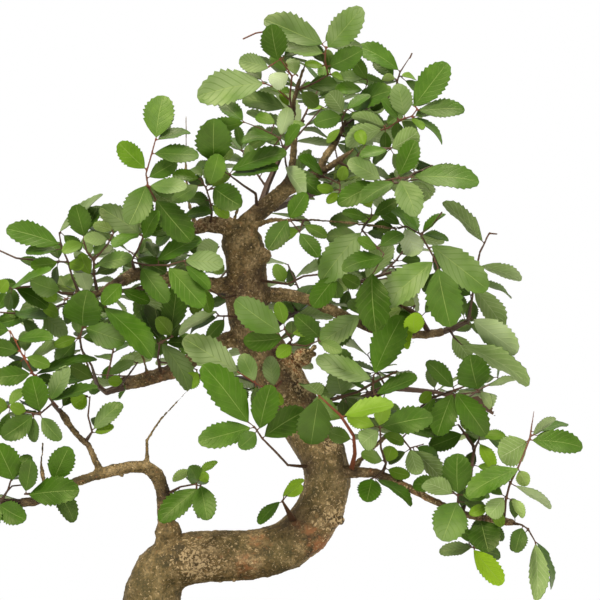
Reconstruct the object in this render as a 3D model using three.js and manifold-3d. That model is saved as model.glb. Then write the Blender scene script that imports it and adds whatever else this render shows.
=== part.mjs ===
// A japanese zelkova bonsai in its oval stoneware pot.
// Millimetres, +Z up, seen from -Y. Every [x, z, depth] below belongs to the front view: x to the
// right of its middle, z up from its lower edge, and depth away from the viewer. The wood is one
// solid, each leafy shoot is another, and the pot and its soil are two more.
import * as THREE from "three";
import Module from "manifold-3d";

const wasm = await Module();
wasm.setup();
const { Manifold, Mesh } = wasm;

// Front view
const VIEW_DISTANCE = 1500;
const VIEW_HEIGHT = 150;

// Pot and soil
const POT_X = -48;
const POT_DEPTH = 0;
const POT_LENGTH = 236;
const POT_WIDTH = 172;
const POT_HEIGHT = 56;
const POT_WALL = 7;
const POT_FLOOR = 8;
const FOOT_HEIGHT = 7;
const FOOT_SPREAD = 0.62;
const RIM_Z = -33;
const SOIL_EDGE_Z = -40;
const SOIL_MOUND = 7;
const DRAIN_RADIUS = 7;
const DRAIN_X = 52;
const GAP = 0.35;

// Leaves
const LEAF_THICKNESS = 1.1;
const LEAF_PROPORTION = 0.54;
const LEAF_FOLD = 0.24;
const LEAF_ARCH = 0.1;
const LEAF_CENTRE = 0.46;
const PETIOLE = 0.85;
const SHORTEST_STALK = 0.9;
const STALK_TAPER = 0.4;
const STALK_INSET = 1;
const STALK_ADVANCE = 0.7;
const LONGEST_LEAF = 34;
const YOUNG_LEAF_AREA = 150;

// Crown: room between shoots, and between the leaves of one shoot
const CROWN_DEPTH = 1.6;
const CLEARANCE = 0.32;
const OWN_CLEARANCE = 0.15;

// Rear boughs
const SIDE_STEMS = 4;
const SIDE_REACH = 30;
const LEAVES_A_SIDE = 4;
const REAR_LEAF_SHORTEST = 14;
const REAR_LEAF_LONGEST = 26;
const LEAF_TRIES = 24;
const CORNERS_ALLOWED_TO_SHOW = 2;
const FOLIAGE_MARGIN = 5;

// Facets round each kind of piece, and the smallest step that is kept
const TRUNK_SIDES = 10;
const ROOT_SIDES = 5;
const LIMB_SIDES = 5;
const TWIG_SIDES = 4;
const SHOOT_SIDES = 3;
const POT_SIDES = 26;
const SMALLEST_STEP = 0.12;

const scene = new THREE.Group();

// Random draws from one seed
let seed = 20117;
function draw() {
  seed = (seed * 1664525 + 1013904223) % 4294967296;
  return seed / 4294967296;
}

function between(low, high) {
  return low + (high - low) * draw();
}

// A point of the front view, moved along its line of sight to the depth given
function place([x, z, depth]) {
  const spread = 1 + depth / VIEW_DISTANCE;
  return new THREE.Vector3(x * spread, depth, VIEW_HEIGHT + (z - VIEW_HEIGHT) * spread);
}

// The depths of limbs and shoots are listed as small steps in front of one another, and drawn out
function drawnOut(path) {
  return path.map(([x, z, depth, radius]) => [x, z, depth < 0 ? depth * CROWN_DEPTH : depth, radius]);
}

// Where a point of space shows in the front view
function seenAt(point) {
  const spread = 1 + point.y / VIEW_DISTANCE;
  return [point.x / spread, VIEW_HEIGHT + (point.z - VIEW_HEIGHT) / spread];
}

function solidFrom(points, triangles) {
  const vertProperties = new Float32Array(points.flatMap((p) => [p.x, p.y, p.z]));
  const triVerts = new Uint32Array(triangles.flat());
  return new Manifold(new Mesh({ numProp: 3, vertProperties, triVerts }));
}

function solidFromGeometry(geometry) {
  const plain = new THREE.BufferGeometry().setAttribute("position", geometry.getAttribute("position"));
  plain.setIndex(geometry.index);
  const source = plain.index ? plain.toNonIndexed() : plain;
  const corner = source.getAttribute("position");
  const found = new Map();
  const points = [];
  const corners = [];
  for (let i = 0; i < corner.count; i++) {
    const p = new THREE.Vector3().fromBufferAttribute(corner, i);
    const key = [p.x, p.y, p.z].map((value) => Math.round(value * 1000)).join();
    if (!found.has(key)) {
      found.set(key, points.length);
      points.push(p);
    }
    corners.push(found.get(key));
  }
  const triangles = [];
  for (let i = 0; i < corners.length; i += 3) {
    const [a, b, c] = corners.slice(i, i + 3);
    if (a !== b && b !== c && c !== a) {
      triangles.push([a, b, c]);
    }
  }
  return solidFrom(points, triangles);
}

// A round stem through the points given, each [x, z, depth, radius]. grow widens it all round.
function stem(path, sides, grow = 0, flute = 0) {
  const centres = path.map(place);
  const points = [];
  const triangles = [];
  let across = new THREE.Vector3(0.3, -1, 0.2);
  centres.forEach((centre, i) => {
    const before = centres[Math.max(i - 1, 0)];
    const after = centres[Math.min(i + 1, centres.length - 1)];
    const along = after.clone().sub(before).normalize();
    across = across.clone().addScaledVector(along, -across.dot(along)).normalize();
    const third = along.clone().cross(across);
    for (let j = 0; j < sides; j++) {
      const turn = (j / sides) * 2 * Math.PI;
      const wave = Math.sin(2 * turn + 0.5 * i) + 0.7 * Math.sin(5 * turn + 1.3 * i);
      const radius = path[i][3] * (1 + flute * wave) + grow;
      const side = across.clone().multiplyScalar(radius * Math.cos(turn));
      points.push(centre.clone().add(side).addScaledVector(third, radius * Math.sin(turn)));
    }
  });
  for (let i = 0; i < centres.length - 1; i++) {
    for (let j = 0; j < sides; j++) {
      const a = i * sides + j;
      const b = i * sides + ((j + 1) % sides);
      triangles.push([a, b, b + sides], [a, b + sides, a + sides]);
    }
  }
  const last = (centres.length - 1) * sides;
  points.push(centres[0], centres[centres.length - 1]);
  for (let j = 0; j < sides; j++) {
    const next = (j + 1) % sides;
    triangles.push([points.length - 2, next, j], [points.length - 1, last + j, last + next]);
  }
  return solidFrom(points, triangles);
}

// Trunk: [x, z, depth, radius] from the ground up
const trunk = [
  [-76, -46, 0, 19],
  [-76, -38, 0, 18],
  [-77, -30, 0, 17],
  [-76.5, -18, 0, 15.6],
  [-75, -6, 0, 15],
  [-73.5, 5, 0, 14.5],
  [-70, 14, 0, 14],
  [-62, 19.5, -1, 13.6],
  [-52, 21.2, -2, 13.1],
  [-40, 21.8, -3, 12.9],
  [-28, 22.5, -3, 12.5],
  [-16, 24.3, -2, 12.3],
  [-6, 27.8, 0, 12.3],
  [3, 34.5, 1, 12.5],
  [9, 43.5, 2, 12.3],
  [12.5, 53, 2, 12],
  [13.8, 62, 1, 12],
  [11.6, 72, 0, 12],
  [6, 82, 0, 12],
  [0, 92, 1, 12],
  [-6.5, 104, 2, 12],
  [-13, 116, 3, 11.6],
  [-19.5, 127, 3, 11],
  [-24.5, 139, 2, 10.8],
  [-26.8, 150, 1, 10.4],
  [-26.8, 161, 0, 10.2],
  [-27.2, 171, 0, 10.4],
  [-29, 180, 0, 10.2],
  [-31, 187, 0, 7],
];

// Roots that spread from the foot of the trunk into the soil
const roots = [
  [[-76, -24, 0, 9], [-92, -31, -6, 7], [-106, -37, -12, 4.5], [-120, -43, -16, 2.6]],
  [[-78, -24, 0, 8], [-90, -31, -18, 6], [-98, -38, -32, 4], [-104, -46, -42, 2.4]],
  [[-74, -24, -2, 8], [-70, -32, -20, 6], [-64, -38, -34, 4], [-60, -46, -44, 2.4]],
  [[-74, -24, 0, 9], [-60, -32, -8, 7], [-46, -38, -12, 4.5], [-32, -45, -13, 2.6]],
  [[-74, -24, 2, 8], [-60, -33, 14, 6], [-48, -39, 24, 4], [-38, -46, 32, 2.4]],
  [[-78, -24, 2, 8], [-84, -32, 20, 6], [-90, -38, 34, 4], [-96, -46, 46, 2.4]],
];

// Limbs, older twigs and stubs
const limbs = [
  // Top of the trunk: cut stub, leader and its right fork
  [[-29, 183, 0, 7], [-38, 187, -2, 4.6], [-47, 187.5, -4, 3.8], [-54, 185, -5, 3.2]],
  [[-30, 182, 0, 7.5], [-24, 191, -2, 5.4], [-16, 198, -4, 4.8], [-8, 204.5, -5, 4.3],
  [-4.5, 210, -5, 3.3]],
  [[-5.5, 207, -5, 3], [-3, 225, -3, 2.1], [-4, 240, 0, 1.8], [-3, 250, 1, 1.5], [0, 261, 2, 1]],
  [[-9, 203.5, -5, 3.8], [0, 208, -8, 3.1], [9, 213, -10, 2.8]],
  [[8, 212, -10, 2.6], [13, 222, -8, 2.2], [18, 229, -6, 1.8], [23, 240, -4, 1.2]],
  [[8, 212, -10, 2.3], [17, 218, -15, 1.9], [27, 225.5, -20, 0.9]],
  [[-24, 187, -4, 2.2], [-14, 190, -12, 1.2], [8, 190, -15, 1], [25, 188.5, -14, 1], [49, 185.5, -12, 0.8]],
  [[-52, 186, -5, 1.2], [-56, 200, -4, 1], [-57, 214, -2, 0.9], [-57, 243, -2, 0.5]],
  // Right side
  [[-20, 152, 1, 5], [-6, 152.5, 4, 3.6], [5, 150, 2, 3], [20, 143, -2, 2.8], [35, 135.5, -6, 2.5],
    [50, 133, -6, 2.4], [63, 132.5, -6, 2.4], [72, 134, -7, 2.2]],
  [[12, 62, -4, 6], [24, 64, -7, 3.4], [38, 63.5, -10, 2.5], [48, 59, -14, 2.2], [57.4, 54.4, -18, 2.1],
    [67, 49.6, -20, 2], [80, 43.5, -22, 1.9], [92, 41, -24, 1.8], [102, 39.5, -26, 2.2],
    [107, 38.5, -28, 1.6]],
  [[14, 60, -4, 7], [17, 70, -9, 5], [14.5, 82, -13, 3.6]],
  [[26, 64, -6, 2.6], [30, 70, -6, 1.6], [42, 81, -2, 1.2], [60, 96, -2, 1]],
  // Left side
  [[-66, 22, -2, 9], [-67, 35, -4, 5.2], [-67.7, 45, -6, 4.4], [-69, 56, -9, 4], [-72, 63, -11, 3.8],
    [-77, 66.8, -13, 3.6], [-84, 66.5, -15, 3.4], [-92.5, 65, -17, 3.2], [-102, 62.5, -19, 3],
    [-112, 59, -20, 2.6],
    [-122, 54.5, -21, 2.2], [-133, 49.3, -23, 2.8], [-140, 48.8, -24, 2.4]],
  [[-100, 64, -18, 2.6], [-103, 71, -18, 2.1], [-105.5, 77, -17, 1.8], [-111, 82, -16, 1.7],
  [-115, 87, -15, 1.8],
    [-118, 92, -14, 2.3], [-121, 96, -14, 1.4]],
  [[-76.5, 67, -13, 1.6], [-76.5, 80, -12, 1.1], [-70, 90, -10, 0.7], [-55, 106, -8, 0.6],
  [-48, 111, -8, 0.5]],
  [[-127, 52.5, -22, 1.6], [-129.5, 68, -20, 1], [-128.5, 79, -19, 0.7]],
  [[-22, 131, 2, 6.5], [-36, 130, 3, 4.6], [-50, 122, 4, 4.4], [-65, 113.5, 5, 4.3], [-75, 111, 5, 4.2],
    [-88, 107, 4, 3]],
  [[-28, 158, 0, 6], [-42, 157, -3, 4.2], [-60, 160.5, -8, 3.6], [-76, 162.5, -11, 3.4],
  [-83, 163, -12, 3.8],
    [-92, 158, -13, 2.6], [-101, 153, -14, 2.2], [-113, 153, -14, 1.6]],
];

// Knots, nubs and the collar of the lowest limb: [x, z, depth, radius]
const knots = [
  [-18.5, 172, -2, 4.2],
  [-9, 171, 0, 2.4],
  [-40, 11.8, -3, 3.4],
  [-33, 10.2, -5, 1.6],
  [1, 121, 0, 4.6],
  [5, 123, -1, 2.2],
  [20, 40, -4, 2.4],
  [-89, 62.2, -17, 1.3],
  [-66, 34, -4, 7],
];

// Trunk, roots, limbs and knots grown together as one solid. grow widens it all round.
function makeWood(grow) {
  const parts = [stem(trunk, TRUNK_SIDES, grow, 0.022)];
  roots.forEach((path) => parts.push(stem(path, ROOT_SIDES, grow, 0.05)));
  limbs.forEach((path) => parts.push(stem(drawnOut(path), path[0][3] > 3 ? LIMB_SIDES : TWIG_SIDES, grow)));
  drawnOut(knots).forEach(([x, z, depth, radius]) => {
    const at = place([x, z, depth]);
    parts.push(Manifold.sphere(radius + grow, 6).translate(at.x, at.y, at.z));
  });
  return Manifold.union(parts);
}

// Leaf outline from the stalk to the tip: [share of the length, share of the half width].
// The step back at the middle is the notch between its coarse teeth.
const leafOutline = [
  [0.13, 0.52],
  [0.37, 0.98],
  [0.47, 0.84],
  [0.7, 0.86],
];
const youngLeafOutline = [
  [0.2, 0.7],
  [0.6, 0.96],
];

// A leaf from its stalk's root inside the stem to its tip. up is the way its upper side faces.
// blade is the same leaf without the stalk.
function leafSolid({ root, base, tip, up, width, fold, arch, outline }) {
  const length = base.distanceTo(tip);
  const along = tip.clone().sub(base).normalize();
  const side = along.clone().cross(up).normalize();
  const normal = side.clone().cross(along).normalize();
  function onBlade(share, across) {
    const lift = fold * Math.abs(across) * width * 0.5 - arch * length * share * share;
    return base
      .clone()
      .addScaledVector(along, share * length)
      .addScaledVector(side, across * width * 0.5)
      .addScaledVector(normal, lift);
  }
  const right = outline.map(([share, across]) => onBlade(share, across));
  const left = outline.map(([share, across]) => onBlade(share, -across)).reverse();
  const stalk = root.clone().sub(base);
  const stalkWay = stalk.clone().normalize();
  const stalkSide = side.clone().addScaledVector(stalkWay, -side.dot(stalkWay)).normalize();
  const stalkUp = stalkWay.clone().cross(stalkSide).normalize();
  if (stalkUp.dot(normal) < 0) {
    stalkUp.negate();
  }
  const baseRight = base.clone().addScaledVector(stalkSide, PETIOLE / 2);
  const baseLeft = base.clone().addScaledVector(stalkSide, -PETIOLE / 2);
  const baseBelow = base.clone().addScaledVector(stalkUp, -PETIOLE * 0.9);
  const above = onBlade(LEAF_CENTRE, 0).addScaledVector(normal, 0.2);
  const below = above.clone().addScaledVector(normal, -LEAF_THICKNESS);
  const ring = [baseRight, ...right, onBlade(1, 0), ...left, baseLeft];
  const count = ring.length;
  const points = [...ring, above, below, baseBelow];
  const faces = [];
  for (let i = 0; i < count - 1; i++) {
    faces.push([count, i, i + 1], [count + 1, i + 1, i]);
  }
  faces.push([count, count - 1, 0], [count + 1, 0, count + 2], [count + 1, count + 2, count - 1]);
  const blade = solidFrom(points, [...faces, [count - 1, count + 2, 0]]);
  const neck = [0, count - 1, count + 2];
  const rootFaces = [];
  neck.forEach((from, i) => {
    const next = (i + 1) % 3;
    rootFaces.push([from, neck[next], count + 3 + next], [from, count + 3 + next, count + 3 + i]);
  });
  const neckMiddle = baseRight.clone().add(baseLeft).add(baseBelow).divideScalar(3);
  neck.forEach((from) => {
    points.push(points[from].clone().sub(neckMiddle).multiplyScalar(STALK_TAPER).add(root));
  });
  rootFaces.push([count + 3, count + 4, count + 5]);
  return { solid: solidFrom(points, [...faces, ...rootFaces]), blade, ring };
}

// Nearest point on a shoot's stems, as the front view shows it
function nearestOnStems(stems, x, z) {
  let best = null;
  stems.forEach((path) => {
    for (let i = 0; i < path.length - 1; i++) {
      const [ax, az, ad, ar] = path[i];
      const [bx, bz, bd, br] = path[i + 1];
      const span = (bx - ax) ** 2 + (bz - az) ** 2 || 1;
      const furthest = i === path.length - 2 ? 1 - STALK_INSET / Math.hypot(bx - ax, bz - az, bd - ad) : 1;
      const sought = ((x - ax) * (bx - ax) + (z - az) * (bz - az)) / span;
      const share = Math.min(Math.max(sought, 0), furthest);
      const px = ax + (bx - ax) * share;
      const pz = az + (bz - az) * share;
      const distance = Math.hypot(x - px, z - pz);
      if (!best || distance < best.distance) {
        best = { distance, x: px, z: pz, depth: ad + (bd - ad) * share, radius: ar + (br - ar) * share };
      }
    }
  });
  return best;
}

const sight = new THREE.Vector3(0, -1, 0);
const skyward = new THREE.Vector3(0, 0, 1);

// Turns a leaf of the lists into a leaf in space: [x, z] of its base, [x, z] of its tip, the width
// that shows, how far its tip leans away from the viewer, and -1 where its underside shows.
function poseLeaf(entry, stems, lean, swing, shift) {
  const [baseX, baseZ, tipX, tipZ, shown, , face = 1] = entry;
  const near = nearestOnStems(stems, baseX, baseZ);
  const baseDepth = near.depth + shift;
  const cos = Math.cos(swing);
  const sin = Math.sin(swing);
  const turnedX = baseX + (tipX - baseX) * cos - (tipZ - baseZ) * sin;
  const turnedZ = baseZ + (tipX - baseX) * sin + (tipZ - baseZ) * cos;
  const base = place([baseX, baseZ, baseDepth]);
  const tip = place([turnedX, turnedZ, baseDepth + lean]);
  const length = base.distanceTo(tip);
  const width = Math.max(shown, Math.min(length * LEAF_PROPORTION, shown * 2.6));
  const along = tip.clone().sub(base).normalize();
  const toViewer = sight.clone().addScaledVector(along, -sight.dot(along)).normalize();
  const across = along.clone().cross(toViewer).normalize();
  if (across.dot(skyward) < 0) {
    across.negate();
  }
  const facing = Math.min(shown / width, 1);
  const up = toViewer.multiplyScalar(facing * face).addScaledVector(across, Math.sqrt(1 - facing * facing));
  const root = place([near.x, near.z, near.depth]);
  const reach = near.radius + SHORTEST_STALK;
  const stalk = base.clone().sub(root);
  stalk.addScaledVector(along, Math.max(STALK_ADVANCE - stalk.dot(along), 0));
  if (stalk.length() < reach) {
    stalk.addScaledVector(along, reach).setLength(reach);
  }
  return { root, base: root.clone().add(stalk), tip, up, width };
}

function boxesMeet(a, b, margin) {
  return [0, 1, 2].every((i) => a.min[i] - margin < b.max[i] && b.min[i] - margin < a.max[i]);
}

// Everything placed so far, which a new leaf must stay clear of. Leaves of one shoot may meet at
// their stalks, and a stalk runs into its own stem.
const placed = [];

function clearOf(solid, box, other, margin) {
  return !boxesMeet(box, other.boundingBox(), margin) || other.minGap(solid, margin) >= margin;
}

function isClear({ solid, blade }, shoot) {
  const box = solid.boundingBox();
  return placed.every((other) => {
    if (!boxesMeet(box, other.box, CLEARANCE)) {
      return true;
    }
    if (other.shoot !== shoot) {
      return clearOf(solid, box, other.solid, CLEARANCE);
    }
    if (!other.blade) {
      return clearOf(blade, box, other.solid, OWN_CLEARANCE);
    }
    return clearOf(blade, box, other.solid, OWN_CLEARANCE)
      && clearOf(solid, box, other.blade, OWN_CLEARANCE);
  });
}

function keep(solid, shoot, blade = null) {
  placed.push({ solid, blade, box: solid.boundingBox(), shoot });
}

// Bends tried in turn where a leaf would touch another: lean, swing and shift
const bends = [
  [0, 0, 0],
  [-3, 0, 0],
  [3, 0, 0],
  [-6, 0, -1],
  [6, 0, 1],
  [0, 0, -3],
  [0, 0, 3],
  [-9, 0, -3],
  [9, 0, 3],
  [-4, 0, -6],
  [4, 0, 6],
  [-12, 0, -4],
  [0, 0.14, -2],
  [0, -0.14, -2],
  [0, 0.14, 4],
  [0, -0.14, 4],
  [-8, 0.2, -6],
  [-8, -0.2, -6],
  [8, 0.2, 7],
  [8, -0.2, 7],
  [-14, 0, -9],
  [12, 0, 10],
];

// Outlines of the front leaves in the view, which hide what stands behind them
const frontOutlines = [];

function covered([x, z]) {
  return frontOutlines.some((outline) => {
    let inside = false;
    for (let i = 0, j = outline.length - 1; i < outline.length; j = i++) {
      const [xi, zi] = outline[i];
      const [xj, zj] = outline[j];
      if (zi > z !== zj > z && x < ((xj - xi) * (z - zi)) / (zj - zi) + xi) {
        inside = !inside;
      }
    }
    return inside;
  });
}

// One leafy shoot: its stems and the leaves of its list, joined. Each leaf takes the first bend
// that leaves it clear of the others.
function makeShoot(name, stems, leaves) {
  const parts = stems.map((path) => stem(path, SHOOT_SIDES));
  parts.forEach((part) => keep(part, name));
  leaves.forEach((entry) => {
    const [baseX, baseZ, tipX, tipZ, shown, leanGiven] = entry;
    const flat = Math.hypot(tipX - baseX, tipZ - baseZ);
    const natural = Math.min(shown / LEAF_PROPORTION, LONGEST_LEAF);
    const lean = leanGiven ?? -Math.sqrt(Math.max(natural * natural - flat * flat, 0)) + between(-1.5, 1.5);
    const fold = LEAF_FOLD * between(0.5, 1.5);
    const arch = LEAF_ARCH * between(0.2, 1.6);
    bends.some(([leanBy, swing, shift]) => {
      const pose = poseLeaf(entry, stems, lean + leanBy, swing, shift);
      const area = pose.base.distanceTo(pose.tip) * pose.width;
      const outline = area < YOUNG_LEAF_AREA ? youngLeafOutline : leafOutline;
      const leaf = leafSolid({ ...pose, fold, arch, outline });
      if (!isClear(leaf, name)) {
        return false;
      }
      parts.push(leaf.solid);
      keep(leaf.solid, name, leaf.blade);
      frontOutlines.push(leaf.ring.map(seenAt));
      return true;
    });
  });
  return { name, solid: Manifold.union(parts) };
}

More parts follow.
